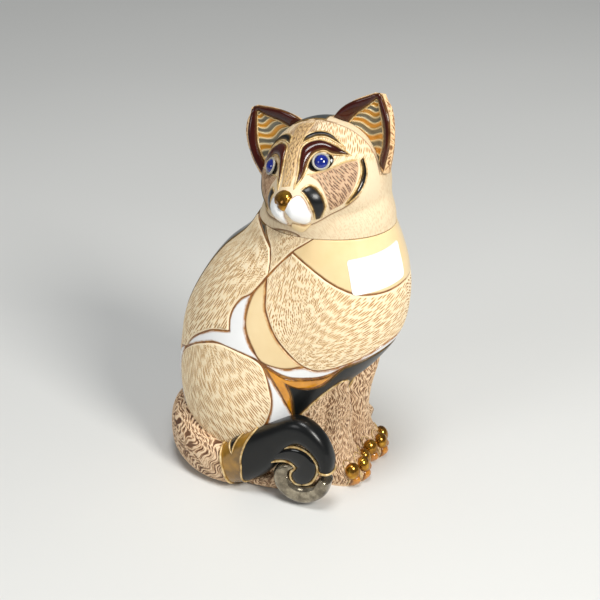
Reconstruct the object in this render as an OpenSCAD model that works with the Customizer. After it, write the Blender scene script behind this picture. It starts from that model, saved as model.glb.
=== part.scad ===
// Seated ceramic cat looking over its right shoulder.
// Hollow slip-cast clay castings are luted together with slip; raised enamel and
// lustre cells, each bounded by a carved line, are fired on to their surfaces.
// The cat faces -Y, its right side is -X, and the base stands on Z = 0.

/* [Torso] */
// Height of the torso casting, from the base to the collar seam
torso_h = 121; // [100:1:150]
// Greatest width of the torso across the haunches
torso_w = 70; // [56:1:90]
// Greatest depth of the torso, chest to back
torso_d = 106; // [86:1:130]
// Thickness of the cast clay wall
wall = 4.5; // [3:0.1:6]
// Diameter of the vent hole in the base
vent_d = 10; // [5:0.5:14]
// Diameter of the airway between the torso and the head
airway_d = 18; // [8:0.5:22]

/* [Head] */
// Width of the head without the ears
head_w = 53; // [44:1:62]
// Depth of the skull, without the muzzle
head_d = 56; // [46:1:66]
// Height of the skull
head_h = 54; // [48:1:62]
// Turn of the head to the cat's right
head_turn = 100; // [60:1:120]
// Upward tip of the face
head_tip = 20; // [0:1:30]
// Sideways lean of the head
head_lean = 16; // [0:1:25]
// Length of an ear from the middle of its seat to its tip
ear_h = 25; // [18:1:32]
// Diameter of an eye dome
eye_d = 6.6; // [4:0.1:9]

/* [Legs and tail] */
// Width of one foreleg
leg_w = 20.5; // [16:0.5:24]
// Sideways position of the cleft between the forelegs
leg_x = 1; // [-6:0.5:6]
// Height of a toe above the ground
toe_h = 11; // [8:0.5:14]
// Height of the tail where it leaves the body
tail_d = 27; // [20:0.5:33]

/* [Enamel and label] */
// Thickness of a raised enamel cell
enamel_t = 0.7; // [0.4:0.1:1.2]
// Gap between a casting and what is laid on it
lift = 0.15; // [0.1:0.05:0.3]
// Slip joint between two castings
joint_gap = 0.35; // [0.3:0.05:0.6]
// Height of the paper label
label_h = 15; // [8:0.5:18]
// Width of the paper label, round the chest
label_w = 28; // [12:0.5:34]

/* [Hidden] */
CLAY = "tan";
FUR = "rosybrown";
CREAM = "wheat";
WHITE = "white";
GOLD = "goldenrod";
BLACK = "darkslategray";
BROWN = "saddlebrown";

// Torso sections: height, middle, then the radius at 0, 45, 90, 135 and 180 degrees
// from the front, for a torso 121 high, 70 wide and 106 deep
TORSO_ROWS = [
    [0, 6, 17, 24, 28, 34, 38],
    [12, 6, 19, 27, 33, 41, 46],
    [28, 6, 21, 29, 35, 45, 52],
    [45, 6, 27, 32, 35, 46, 53],
    [58, 5, 38, 36, 34, 45, 53],
    [72, 2, 44, 38, 33, 44, 53],
    [88, -2, 43, 37, 31, 41, 49],
    [102, -5, 39, 34, 29, 36, 42],
    [112, -7, 34, 31, 27, 31, 33],
    [121, -8, 30, 27, 25, 27, 28]];
TORSO_SCALE = [torso_w / 70, torso_d / 106, torso_h / 121];
COLLAR = 121;
VENT_Y = 16;

// Skull shape: share of its depth in front of the middle, and its swellings as
// longitude, latitude, their spreads, and height
FACE_SHARE = 0.473;
SWELLINGS = [
    [0, -20, 26, 17, 9],
    [0, -50, 26, 18, 2.5],
    [0, 8, 13, 26, 2.2],
    [30, 10, 15, 12, -1.6],
    [-30, 10, 15, 12, -1.6],
    [52, -18, 24, 22, 2],
    [-52, -18, 24, 22, 2]];
HEAD_RISE = 15;
NECK_WAIST = 0.2;
SOFTNESS = 0.8;
HEAD_ORIGIN = [1.5, -7.5 * TORSO_SCALE.y, torso_h + HEAD_RISE];

// Tail stations, for a root 27 high: position, half thickness, half height, and the way its outer side faces
TAIL_SCALE = tail_d / 27;
TAIL_ROWS = [
    [15, 45, 14, 3, 5, 65],
    [4, 51.5, 15, 8 * TAIL_SCALE, 12.5 * TAIL_SCALE, 85],
    [-10, 52, 15, 9.5 * TAIL_SCALE, 13.5 * TAIL_SCALE, 100],
    [-21, 47.5, 14, 9.5 * TAIL_SCALE, 13.5 * TAIL_SCALE, 128],
    [-29.5, 38, 11.5, 9, 11, 155],
    [-33.5, 28, 10.2, 8.5, 9.8, 175],
    [-34.5, 19, 11.8, 8, 9.8, 180],
    [-35.5, 8, 20, 7, 10, 180],
    [-36.5, -4, 31.8, 6, 6.4, 180],
    [-37, -12.5, 36.4, 5.4, 6.2, 180],
    [-37.3, -20, 33, 5, 5, 180],
    [-37.5, -24.8, 26, 4.6, 3.6, 180],
    [-37.5, -25.4, 19.5, 4.4, 2.8, 180]];
HOOK_ROWS = [
    [-37.5, -25.2, 15.2, 4.3, 2.4, 180],
    [-37.5, -21.5, 8.5, 4.4, 3.8, 180],
    [-37.5, -14, 5.2, 4.5, 4.8, 180],
    [-37.5, -6, 6.4, 4.5, 5.2, 180],
    [-37.4, -1.8, 11.6, 4.4, 3.9, 180],
    [-37.2, -4.6, 16.6, 4, 2.2, 180],
    [-37, -8.6, 18, 3.4, 1.1, 180]];
COMMA_ROWS = [
    [-37.8, 1, 17.6, 1.5, 0.3, 180],
    [-37.8, -4, 20.8, 3.2, 1, 180],
    [-37.8, -10.6, 23.6, 4, 1.9, 180],
    [-37.8, -16.6, 21.6, 4.2, 2.4, 180],
    [-37.8, -18.2, 16.8, 4.2, 2.5, 180],
    [-37.8, -15, 14, 4, 2.4, 180],
    [-37.8, -12.8, 15, 2.6, 1.2, 180]];
FUR_END = 5.3;
BAND_END = 6.5;
BAND_SLANT = 0.95;

// Hind paw stations on the ground: position, half width, half height, facing
HIND_ROWS = [
    [-26, 17, 1.8, 4, 1.8, 180],
    [-28, 11, 2.6, 7, 2.6, 180],
    [-28, 2, 4, 7, 4.2, 180],
    [-28.4, -6, 5, 4, 5.2, 180],
    [-28.6, -14, 4.4, 3.2, 4.4, 180],
    [-28.6, -19, 3.4, 2.4, 3.2, 180]];
LEG_GROWTH = max(leg_w - 20.5, 0);
FREE_HIND_ROWS = [
    [-23, 24, 3, 5, 3, 180],
    [-27 - LEG_GROWTH, 13, 5, 8, 5, 180],
    [-30 - LEG_GROWTH, 1, 7, 8, 7, 180],
    [-31.5 - LEG_GROWTH, -8, 7, 7, 7, 180],
    [-31.5 - LEG_GROWTH, -14, 6, 6.6, 6, 180],
    [-31.5 - LEG_GROWTH, -17, 5, 5.4, 4.8, 180]];

// Foreleg sections: height, middle fore and aft, half width and half depth as shares
LEG_ROWS = [
    [0, -15.5, 0.98, 13.5],
    [4, -16.5, 1.02, 13.8],
    [9, -15.5, 1, 12],
    [14, -14, 0.95, 10.5],
    [22, -13, 0.93, 10.5],
    [32, -13, 0.96, 11.5],
    [40, -13.5, 0.96, 12.5],
    [47, -15.5, 0.86, 11.5],
    [51, -18, 0.6, 8]];
TOES = [-0.72, 0, 0.72];

// Front edges of the left ear from seat to tip, in the head's own frame, and the way it grows
EAR_CROWN_EDGE = [[8, -5, 25], [13, -6.5, 31], [20, -7, 34.5], [27, -6, 36.5]];
EAR_OUTER_EDGE = [[27, -2, 1], [31, -4.5, 12], [32, -6, 24], [30.5, -6, 34.5]];
EAR_REACH = [11, -2, 22.5];
EAR_HOLLOW = 4;
EAR_WALL = 2.2;
EAR_DEPTH = 12;
EYE_AT = [31, 15];
EYE_SEAT = enamel_t + 0.5;
EYE_SINK = 1.6;

// Label: its middle on the bib, the rise of its edge, thickness, radius of the bib there, and
// how much smaller that radius is at the label's upper edge
LABEL_AT = [24, 107];
LABEL_TILT = 1.2;
LABEL_T = 0.3;
LABEL_R = 37;
LABEL_FLARE = 4;

// ---- Curves ----

function unit(v) = v / norm(v);
function sum(v, i = 0) = i == len(v) - 1 ? v[i] : v[i] + sum(v, i + 1);
function tail_of(v, first) = [for (i = [first : len(v) - 1]) v[i]];
function clamp(x, low, high) = min(max(x, low), high);

// Slope of a table at row i, from the rows beside it
function row_slope(rows, i) = let (a = max(i - 1, 0), b = min(i + 1, len(rows) - 1))
    (rows[b] - rows[a]) / (rows[b][0] - rows[a][0]);

// Index of the row that starts the interval holding t
function row_index(rows, t, i = 0) =
    (i >= len(rows) - 2 || t < rows[i + 1][0]) ? i : row_index(rows, t, i + 1);

// Smooth value of a table at t: a cubic through its rows
function row_at(rows, t) = let (
        i = row_index(rows, t),
        h = rows[i + 1][0] - rows[i][0],
        s = (t - rows[i][0]) / h)
    (2 * s ^ 3 - 3 * s ^ 2 + 1) * rows[i] + (s ^ 3 - 2 * s ^ 2 + s) * h * row_slope(rows, i)
    + (3 * s ^ 2 - 2 * s ^ 3) * rows[i + 1] + (s ^ 3 - s ^ 2) * h * row_slope(rows, i + 1);

// Rows numbered 0, 1, 2 ... so that they can be read with row_at
function numbered(points) = [for (i = [0 : len(points) - 1]) concat([i], points[i])];

// Point a share t along a smooth curve through points
function on_curve(points, t) = tail_of(row_at(numbered(points), t * (len(points) - 1)), 1);

// ---- Torso surface ----

// Radius at an angle: a cosine series through five evenly spaced radii
function cosine_term(r, k) =
    sum([for (j = [0 : 4]) (j == 0 || j == 4 ? 1 : 2) * r[j] * cos(45 * j * k)])
    / (k == 0 || k == 4 ? 8 : 4);
function ring_radius(row, angle) = let (r = tail_of(row, 2))
    sum([for (k = [0 : 4]) cosine_term(r, k) * cos(k * angle)]);

// Point at an angle from the front towards the cat's right, and a height in design units
function torso_skin(angle, z) = let (row = row_at(TORSO_ROWS, z), r = ring_radius(row, angle))
    [-r * sin(angle) * TORSO_SCALE.x, (row[1] - r * cos(angle)) * TORSO_SCALE.y, z * TORSO_SCALE.z];
function torso_point(angle, z, off) = let (
        d = 0.5,
        across = torso_skin(angle - d, z) - torso_skin(angle + d, z),
        up = torso_skin(angle, z + d) - torso_skin(angle, z - d))
    torso_skin(angle, z) + off * unit(cross(across, up));

// A point pushed straight out until it clears the torso
function off_torso(p, gap) = let (
        z = clamp(p.z / TORSO_SCALE.z, 0, COLLAR),
        row = row_at(TORSO_ROWS, z),
        q = [p.x / TORSO_SCALE.x, p.y / TORSO_SCALE.y - row[1]],
        angle = atan2(-q.x, -q.y),
        k = max(1, (ring_radius(row, angle) + gap) / norm(q)))
    [q.x * k * TORSO_SCALE.x, (row[1] + q.y * k) * TORSO_SCALE.y, p.z];

// ---- Head surface ----

function turn_x(v, a) = [v.x, v.y * cos(a) - v.z * sin(a), v.y * sin(a) + v.z * cos(a)];
function turn_y(v, a) = [v.x * cos(a) + v.z * sin(a), v.y, v.z * cos(a) - v.x * sin(a)];
function turn_z(v, a) = [v.x * cos(a) - v.y * sin(a), v.x * sin(a) + v.y * cos(a), v.z];
function face_turn(v) = turn_z(turn_x(turn_y(v, -head_lean), -head_tip), -head_turn);
function head_to_world(v) = HEAD_ORIGIN + face_turn(v);
function world_to_head(p) = turn_y(turn_x(turn_z(p - HEAD_ORIGIN, head_turn), head_tip), head_lean);

// Radius of the skull along a unit direction in the head's own frame, which faces -Y
function swelling(lon, lat, s) = s[4] * exp(-((lon - s[0]) / s[2]) ^ 2 - ((lat - s[1]) / s[3]) ^ 2);
function skull_radius(d) = let (
        depth = head_d * (d.y > 0 ? 1 - FACE_SHARE : FACE_SHARE),
        lon = atan2(d.x, -d.y),
        lat = asin(clamp(d.z, -1, 1)))
    1 / norm([2 * d.x / head_w, d.y / depth, 2 * d.z / head_h])
    + sum([for (s = SWELLINGS) swelling(lon, lat, s)]);

// Radius of the neck along a unit direction: a column standing on the torso's collar
function neck_radius(d) = let (
        level = norm([d.x, d.y]),
        row = row_at(TORSO_ROWS, COLLAR),
        angle = atan2(-d.x, -d.y),
        rim = norm([ring_radius(row, angle) * sin(angle) * TORSO_SCALE.x,
            ring_radius(row, angle) * cos(angle) * TORSO_SCALE.y]),
        shift = ([0, row[1] * TORSO_SCALE.y] - [HEAD_ORIGIN.x, HEAD_ORIGIN.y]) * [d.x, d.y] / level)
    (rim + shift) / level * (1 - NECK_WAIST * (1 - clamp(-d.z * 2.2, 0, 1)) ^ 2);
function soft_max(a, b) = max(a, b) + SOFTNESS * ln(1 + exp(-abs(a - b) / SOFTNESS));

// Outer skin of the head: the larger of skull and neck, cut level at the collar
function head_reach(local_d, off) = let (
        d = face_turn(local_d),
        skin = d.z > 0 ? skull_radius(local_d) : soft_max(skull_radius(local_d), neck_radius(d)))
    d.z < 0 ? min(skin + off, (HEAD_RISE - lift) / -d.z) : skin + off;
function facing(lon, lat) = [cos(lat) * sin(lon), -cos(lat) * cos(lon), sin(lat)];
function head_point(lon, lat, off) = let (d = facing(lon, lat))
    head_to_world(d * head_reach(d, off));

// The same skin measured across and along the middle of the crown
function crown_point(across, along, off) = let (
        d = [sin(across), -cos(across) * cos(along), cos(across) * sin(along)])
    head_to_world(d * head_reach(d, off));
function off_head(v, gap) = let (d = unit(v), k = max(norm(v), skull_radius(d) + gap)) d * k;

// ---- Solids made from grids of points ----

function middle(points) = sum(points) / len(points);

// Closed skin over rings of points that run clockwise seen from the last ring
module ring_solid(rings) {
    n = len(rings);
    m = len(rings[0]);
    sides = [for (i = [0 : n - 2], j = [0 : m - 1]) let (a = i * m + j, b = i * m + (j + 1) % m)
        each [[a, b, a + m], [b, b + m, a + m]]];
    first_cap = [for (j = [0 : m - 1]) [n * m, (j + 1) % m, j]];
    last_cap = [for (j = [0 : m - 1]) [n * m + 1, (n - 1) * m + j, (n - 1) * m + (j + 1) % m]];
    polyhedron(points = concat([for (r = rings) each r], [middle(rings[0]), middle(rings[n - 1])]),
        faces = concat(sides, first_cap, last_cap), convexity = 6);
}

// Slab between an outer and an inner grid of points
module slab(outer, inner) {
    n = len(outer);
    m = len(outer[0]);
    k = n * m;
    top = [for (i = [0 : n - 2], j = [0 : m - 2]) let (a = i * m + j)
        each [[a, a + 1, a + m], [a + 1, a + m + 1, a + m]]];
    bottom = [for (f = top) [f[2] + k, f[1] + k, f[0] + k]];
    rim = concat([for (j = [0 : m - 1]) j], [for (i = [1 : n - 1]) i * m + m - 1],
        [for (j = [m - 2 : -1 : 0]) (n - 1) * m + j], [for (i = [n - 2 : -1 : 1]) i * m]);
    edge = [for (i = [0 : len(rim) - 1]) let (a = rim[i], b = rim[(i + 1) % len(rim)])
        each [[a, a + k, b], [b, a + k, b + k]]];
    polyhedron(points = concat([for (r = outer) each r], [for (r = inner) each r]),
        faces = concat(top, bottom, edge), convexity = 6);
}
function reversed(v) = [for (i = [len(v) - 1 : -1 : 0]) v[i]];

// Enamel cell on a surface, between two edges given in that surface's coordinates
module cell(skin, edge_a, edge_b, n = 8, m = 4, thick = enamel_t, crown = 0, base = 0) {
    grid = [for (i = [0 : n]) let (a = on_curve(edge_a, i / n), b = on_curve(edge_b, i / n))
        [for (j = [0 : m]) a + (b - a) * j / m]];
    low = base + lift;
    outer = [for (i = [0 : n]) [for (j = [0 : m]) let (p = grid[i][j])
        skin(p[0], p[1], low + thick + crown * sin(180 * i / n) * sin(180 * j / m))]];
    inner = [for (row = grid) [for (p = row) skin(p[0], p[1], low)]];
    i = floor(n / 2);
    j = floor(m / 2);
    out = outer[i][j] - inner[i][j];
    clockwise = cross(outer[i][j + 1] - outer[i][j], outer[i + 1][j] - outer[i][j]) * out < 0;
    slab([for (row = outer) clockwise ? row : reversed(row)],
        [for (row = inner) clockwise ? row : reversed(row)]);
}

// Cell on the torso; side is 1 for the cat's right and -1 for its left
module torso_cell(side, edge_a, edge_b, n = 8, m = 4, thick = enamel_t, crown = 0, base = 0) {
    mirrored = function(edge) [for (p = edge) [side * p[0], p[1]]];
    cell(function(a, z, off) torso_point(a, z, off), mirrored(edge_a), mirrored(edge_b),
        n, m, thick, crown, base);
}

// Cell on the head; side is 1 for the cat's left and -1 for its right
module head_cell(side, edge_a, edge_b, n = 8, m = 4, thick = enamel_t, crown = 0, base = 0) {
    mirrored = function(edge) [for (p = edge) [side * p[0], p[1]]];
    cell(function(a, b, off) head_point(a, b, off), mirrored(edge_a), mirrored(edge_b),
        n, m, thick, crown, base);
}

// ---- Limbs: tubes with a flattened oval section ----

function rounded(x) = sign(x) * abs(x) ^ 0.8;

// Point on a limb at a station and an angle, 0 on its outer side and 90 on top
function limb_point(rows, s, angle) = let (
        table = numbered(rows),
        at = row_at(table, s),
        t = unit(row_at(table, s + 0.05) - row_at(table, s - 0.05)),
        way = unit([t[1], t[2], t[3]]),
        out = [cos(at[6]), sin(at[6]), 0],
        side = unit(out - (out * way) * way),
        p = [at[1], at[2], at[3]]
            + at[4] * rounded(cos(angle)) * side + at[5] * rounded(sin(angle)) * cross(side, way),
        placed = [p.x * TORSO_SCALE.x, p.y * TORSO_SCALE.y, max(p.z, 0)])
    off_torso(placed, joint_gap);

// Part of a limb between two slanted ends, given as stations for each angle
module limb(rows, first, last, n, m = 16, side = 1) {
    flip = function(p) [side * p.x, p.y, p.z];
    rings = [for (i = [0 : n]) [for (j = [0 : m - 1]) let (a = 360 * j / m)
        flip(limb_point(rows, first(a) + (last(a) - first(a)) * i / n, a))]];
    ring_solid(side > 0 ? rings : reversed(rings));
}
function band_edge(a) = BAND_END + BAND_SLANT * sin(a);

// ---- Castings ----

module torso() {
    around = 40;
    levels = [for (z = [0 : 5.5 : COLLAR]) z];
    inner_around = 24;
    floor_z = wall / TORSO_SCALE.z;
    roof_z = COLLAR - floor_z;
    inner_steps = 14;
    color(CLAY) difference() {
        ring_solid([for (z = levels) [for (j = [0 : around - 1]) torso_skin(360 * j / around, z)]]);
        ring_solid([for (i = [0 : inner_steps]) let (z = floor_z + (roof_z - floor_z) * i / inner_steps)
            [for (j = [0 : inner_around - 1]) torso_point(360 * j / inner_around, z, -wall)]]);
        translate([0, VENT_Y * TORSO_SCALE.y, -1]) cylinder(h = wall + 2, d = vent_d, $fn = 32);
        translate([0, HEAD_ORIGIN.y, torso_h - 2 * wall]) cylinder(h = 3 * wall, d = airway_d, $fn = 32);
    }
}

module head() {
    around = 40;
    levels = 26;
    hollow_r = min(head_w, head_h) / 2 - wall;
    color(FUR) difference() {
        ring_solid([for (i = [0 : levels]) let (lat = -88 + 176 * i / levels)
            [for (j = [0 : around - 1]) head_point(-360 * j / around, lat, 0)]]);
        translate(HEAD_ORIGIN) sphere(r = hollow_r, $fn = 48);
    }
}

// Foreleg surface: angle from the front towards the cat's right, height; toes swell at the foot
function leg_point(side, angle, z, off) = let (
        row = row_at(LEG_ROWS, z),
        across = -rounded(sin(angle)),
        depth = -rounded(cos(angle)),
        fade = max(0, 1 - z / toe_h),
        toes = 1.3 * max(cos(angle), 0) * sqrt(fade) * abs(cos(270 * across)),
        half_w = row[2] * leg_w / 2 + off,
        half_d = row[3] + off + toes,
        p = [leg_x + side * -(leg_w / 2 + 0.4) + across * half_w, row[1] + depth * half_d, z],
        placed = [p.x * TORSO_SCALE.x, p.y * TORSO_SCALE.y, p.z * TORSO_SCALE.z])
    off_torso(placed, joint_gap + off);

module foreleg(side) {
    around = 28;
    color(FUR) ring_solid([for (z = [0, 2, 4, 6.5, 9, 12, 16, 22, 28, 34, 40, 44, 48, 51])
        [for (j = [0 : around - 1]) leg_point(side, 360 * j / around, z, 0)]]);
}

// Gold caps over the front of the toes
module toe_caps(side) {
    half = 17;
    color(GOLD) for (t = TOES) let (a = asin(-t) * 0.82)
        cell(function(angle, z, off) leg_point(side, angle, z, off),
            [[a - half, 0.4], [a - half * 0.9, 5], [a - 4, toe_h]],
            [[a + half, 0.4], [a + half * 0.9, 5], [a + 4, toe_h]], 5, 4, enamel_t, 1.2);
}

module hind_paw(side) {
    rows = side > 0 ? HIND_ROWS : FREE_HIND_ROWS;
    color(FUR) limb(rows, function(a) 0, function(a) 5, 10, 16, side);
}

module tail_root() {
    color(FUR) limb(TAIL_ROWS, function(a) 0, function(a) FUR_END, 14);
}
module tail_band() {
    color(GOLD) limb(TAIL_ROWS, function(a) FUR_END + 0.03, function(a) band_edge(a), 4);
}
module tail_arch() {
    color(BLACK) limb(TAIL_ROWS, function(a) band_edge(a) + 0.03, function(a) 12, 14);
}
module tail_tip() {
    color("silver") limb(HOOK_ROWS, function(a) 0, function(a) 6, 14, 12);
}
module curl_inlay() {
    color("black") limb(COMMA_ROWS, function(a) 0, function(a) 6, 14, 12);
}

// Ear: an upright shell whose hollow front faces forward; s runs from seat to tip, u across
function ear_edge(side, points, s) = let (
        p = on_curve(points, s) + s * (ear_h / norm(EAR_REACH) - 1) * EAR_REACH)
    [side * p.x, p.y, p.z];
function ear_point(side, u, s, off) = let (
        a = ear_edge(side, EAR_CROWN_EDGE, s),
        b = ear_edge(side, EAR_OUTER_EDGE, s),
        hollow = EAR_HOLLOW * sin(180 * u) * max(1 - s, 0) ^ 0.7)
    head_to_world(off_head(a + (b - a) * u + [0, hollow - off, 0], joint_gap));
function ear_back(side, u, s) = let (
        a = ear_edge(side, EAR_CROWN_EDGE, s),
        b = ear_edge(side, EAR_OUTER_EDGE, s),
        depth = EAR_WALL + EAR_DEPTH * max(1 - s, 0) ^ 0.8 * sqrt(sin(180 * u)))
    head_to_world(off_head(a + (b - a) * u + [-side * depth * 0.25, depth, 0], joint_gap));

module ear(side) {
    levels = 8;
    across = 8;
    walls = [for (i = [0 : levels]) let (s = i / levels) concat(
        [for (j = [0 : across]) ear_point(side, j / across, s, 0)],
        [for (j = [across : -1 : 0]) ear_back(side, j / across, s)])];
    heart = middle(walls[0]);
    seat = [for (share = [0.1, 0.4, 0.7]) [for (p = walls[0])
        head_to_world(off_head(world_to_head(heart + (p - heart) * share), joint_gap))]];
    rings = concat(seat, walls);
    color(FUR) ring_solid(side > 0 ? reversed(rings) : rings);
}
module ear_rim(side) {
    outer = [[0.02, 0.08], [0.02, 0.5], [0.1, 0.95], [0.9, 0.95], [0.98, 0.5], [0.98, 0.05]];
    inner = [[0.3, 0.08], [0.32, 0.45], [0.42, 0.8], [0.6, 0.8], [0.82, 0.45], [0.86, 0.05]];
    color(BROWN) cell(function(u, s, off) ear_point(side, u, s, off), outer, inner, 14, 2);
}
module ear_lining(side) {
    color("darkkhaki") cell(function(u, s, off) ear_point(side, u, s, off),
        [[0.34, 0.08], [0.36, 0.45], [0.46, 0.76]], [[0.82, 0.05], [0.78, 0.45], [0.56, 0.76]], 6, 4);
}

// ---- Enamel on the head ----

module eye(side) {
    at = [EYE_AT.x * side, EYE_AT.y];
    seat = head_point(at.x, at.y, lift);
    d = unit(head_point(at.x, at.y, 10) - seat);
    color("navy") translate(seat) rotate([0, acos(d.z), atan2(d.y, d.x)])
        translate([0, 0, EYE_SEAT]) rotate_extrude($fn = 40)
            intersection() {
                translate([0, -EYE_SINK]) circle(r = norm([eye_d / 2, EYE_SINK]), $fn = 60);
                square([eye_d / 2, eye_d / 2]);
            }
}
module nose() {
    color(GOLD) head_cell(1, [[-10, -9], [-6, -5], [0, -3], [6, -5], [10, -9]],
        [[-9, -11], [-5, -14], [0, -16], [5, -14], [9, -11]], 8, 4, 1.2, 1);
}
module muzzle_pad(side) {
    color(WHITE) head_cell(side, [[0.8, -17], [5, -14], [11, -12], [17, -18], [19, -26]],
        [[0.8, -23], [3, -30], [10, -34], [16, -32], [18.6, -28]], 8, 4, enamel_t, 1);
}
module chin_pad() {
    color(CREAM) head_cell(1, [[-12, -33], [0, -34], [12, -33]], [[-11, -38], [0, -44], [11, -38]], 6, 3);
}
module forehead_panel() {
    color(FUR) head_cell(1, [[-5, -1], [-6, 12], [-8, 26], [-12, 40], [-20, 54]],
        [[5, -1], [6, 12], [8, 26], [12, 40], [20, 54]], 8, 4);
}
module brow(side) {
    color(BLACK) head_cell(side, [[9, 34], [13, 41], [24, 46], [39, 41], [49, 28]],
        [[10.5, 32], [16, 37], [25, 39], [35, 36], [48, 27]], 8, 2);
}
module eye_mask(side) {
    color(BROWN) head_cell(side, [[8, -6], [8, 8], [9, 26], [18, 35], [30, 35.5], [43, 28], [54, 19]],
        [[9, -6.5], [13, 3], [17, 18], [22, 23], [29, 24], [37, 20], [53, 17.6]], 12, 2);
}
module cheek_panel(side) {
    color(FUR) head_cell(side, [[15, 1], [30, 6], [48, 12], [60, 14]],
        [[25, -6], [32, -16], [44, -22], [56, -8]], 6, 4);
}
module cheek_crescent(side) {
    color(BLACK) head_cell(side, [[61, 12], [61, 2], [56, -11], [47, -22]],
        [[68, 15], [68, 1], [61, -14], [49, -24]], 6, 2);
}
module whisker_band(side) {
    color(BLACK) head_cell(side, [[13, -8], [20, -7], [27, -14], [30, -26], [25, -34]],
        [[12.5, -10], [17, -12], [22, -19], [24.5, -28], [21.5, -34]], 8, 2);
}
module crown_stripe() {
    color(BLACK) cell(function(a, b, off) crown_point(a, b, off),
        [[-11, 58], [-8, 90], [-6, 130], [-8, 170]], [[11, 58], [8, 90], [6, 130], [8, 170]], 8, 3);
}

// ---- Enamel on the torso ----

module bib() {
    top = [[-84, 118.5], [-60, 119.5], [-30, 119.5], [0, 119.5], [30, 119.5], [60, 119.5], [84, 118.5]];
    low = [[-86, 111], [-54, 103], [-25, 98.5], [0, 98], [25, 98.5], [54, 103], [86, 111]];
    color(CREAM) torso_cell(1, top, low, 16, 4);
}
module chest_panel() {
    top = [[-106, 99], [-80, 107], [-54, 101], [-25, 96.5], [0, 96], [25, 96.5], [54, 101], [80, 107], [106, 99]];
    low = [[-102, 89], [-88, 76], [-64, 66], [-30, 67], [0, 70], [30, 67], [64, 66], [88, 76], [102, 89]];
    color(FUR) torso_cell(1, top, low, 24, 7);
}
module crescent(side) {
    color(CREAM) torso_cell(side, [[110, 99], [105, 88], [92, 76], [77, 68], [66, 64.8]],
        [[111, 99.5], [115.5, 90], [112, 78], [100, 67.5], [90, 63.5], [78, 62.5], [67, 63.8]], 10, 3);
}
module flank_inlay(side) {
    color(WHITE) torso_cell(side, [[148, 57.5], [142, 65.5], [132, 72], [123.5, 74.5], [124.5, 84], [118, 93]],
        [[147, 57], [135, 64.5], [125, 67], [112, 68], [113.5, 80], [117, 91.5]], 10, 3);
}
module shoulder_panel(side) {
    color(FUR) torso_cell(side, [[163, 110], [164, 98], [165, 84], [163.5, 70], [160, 60]],
        [[120, 111], [113, 103], [126, 88], [128, 78], [151, 61]], 10, 6);
}
module haunch_panel(side) {
    color(FUR) torso_cell(side, [[150, 44], [140, 58], [128, 64.5], [112, 64.5], [97, 60.5], [89, 53]],
        [[149, 41], [140, 28], [128, 23], [114, 23], [102, 27], [87.5, 37]], 10, 6, enamel_t, 0.8);
}
module haunch_inlay(side) {
    color(WHITE) torso_cell(side, [[90, 57.5], [86.5, 50], [85.5, 42], [86, 35]],
        [[89, 57], [82, 50], [76, 44], [69, 38]], 6, 3);
}
module belly_band() {
    top = [[-93, 61.5], [-78, 60.8], [-62, 62.5], [-30, 65.5], [0, 68.5], [30, 65.5], [62, 62.5], [78, 60.8], [93, 61.5]];
    low = [[-92, 60.5], [-76, 57.5], [-57, 57.5], [-30, 62], [0, 66], [30, 62], [57, 57.5], [76, 57.5], [92, 60.5]];
    color(WHITE) torso_cell(1, top, low, 18, 2);
}
module gold_gusset(side) {
    color(GOLD) torso_cell(side, [[92, 58.5], [76, 56], [57, 56], [41, 60]],
        [[90, 57], [74, 52.5], [60, 53], [42, 58.5]], 8, 2);
}
module black_gusset(side) {
    color(BLACK) torso_cell(side, [[72, 51], [60, 51.5], [45, 55], [34, 60]],
        [[66, 40], [54, 47], [44, 51], [33.5, 57]], 6, 3);
}
module neck_wedge(side) {
    color(FUR) torso_cell(side, [[132, 119.5], [118, 119.5], [104, 119.5], [90, 118.5]],
        [[130, 118], [119, 113], [110, 106], [92, 114]], 8, 3);
}
module haunch_rim(side) {
    color(WHITE) torso_cell(side, [[151, 59], [158, 53], [161.5, 44], [160, 34]],
        [[150.5, 58], [152.5, 52], [153, 44], [154, 35]], 6, 2);
}
module spine_stripe() {
    color(BLACK) torso_cell(1, [[134, 119.5], [140, 113], [167.5, 108], [168, 90], [169, 72], [169, 52], [174, 34]],
        [[226, 119.5], [220, 113], [192.5, 108], [192, 90], [191, 72], [191, 52], [186, 34]], 14, 8);
}
module paper_label() {
    half_h = label_h / 2 / TORSO_SCALE.z;
    corner = function(across, up) let (half = label_w / 2 / (LABEL_R - LABEL_FLARE * up) * 180 / PI)
        [LABEL_AT.x + up + across * half, LABEL_AT.y - across * LABEL_TILT + up * half_h];
    color(WHITE) torso_cell(1, [corner(-1, 1), corner(1, 1)], [corner(-1, -1), corner(1, -1)],
        10, 4, LABEL_T, 0, lift + enamel_t);
}

torso();
head();
foreleg(-1);  // left_foreleg
foreleg(1);  // right_foreleg
toe_caps(-1);  // left_toe_caps
toe_caps(1);  // right_toe_caps
hind_paw(-1);  // left_hind_paw
hind_paw(1);  // right_hind_paw
tail_root();
tail_band();
tail_arch();
tail_tip();
curl_inlay();
ear(1);  // left_ear
ear(-1);  // right_ear
ear_rim(1);  // left_ear_rim
ear_rim(-1);  // right_ear_rim
ear_lining(1);  // left_ear_lining
ear_lining(-1);  // right_ear_lining
eye(1);  // left_eye
eye(-1);  // right_eye
nose();
muzzle_pad(1);  // left_muzzle_pad
muzzle_pad(-1);  // right_muzzle_pad
chin_pad();
forehead_panel();
crown_stripe();
brow(1);  // left_brow
brow(-1);  // right_brow
eye_mask(1);  // left_eye_mask
eye_mask(-1);  // right_eye_mask
cheek_panel(1);  // left_cheek_panel
cheek_panel(-1);  // right_cheek_panel
cheek_crescent(1);  // left_cheek_crescent
cheek_crescent(-1);  // right_cheek_crescent
whisker_band(1);  // left_whisker_band
whisker_band(-1);  // right_whisker_band
bib();
chest_panel();
crescent(-1);  // left_crescent
crescent(1);  // right_crescent
flank_inlay(-1);  // left_flank_inlay
flank_inlay(1);  // right_flank_inlay
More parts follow.
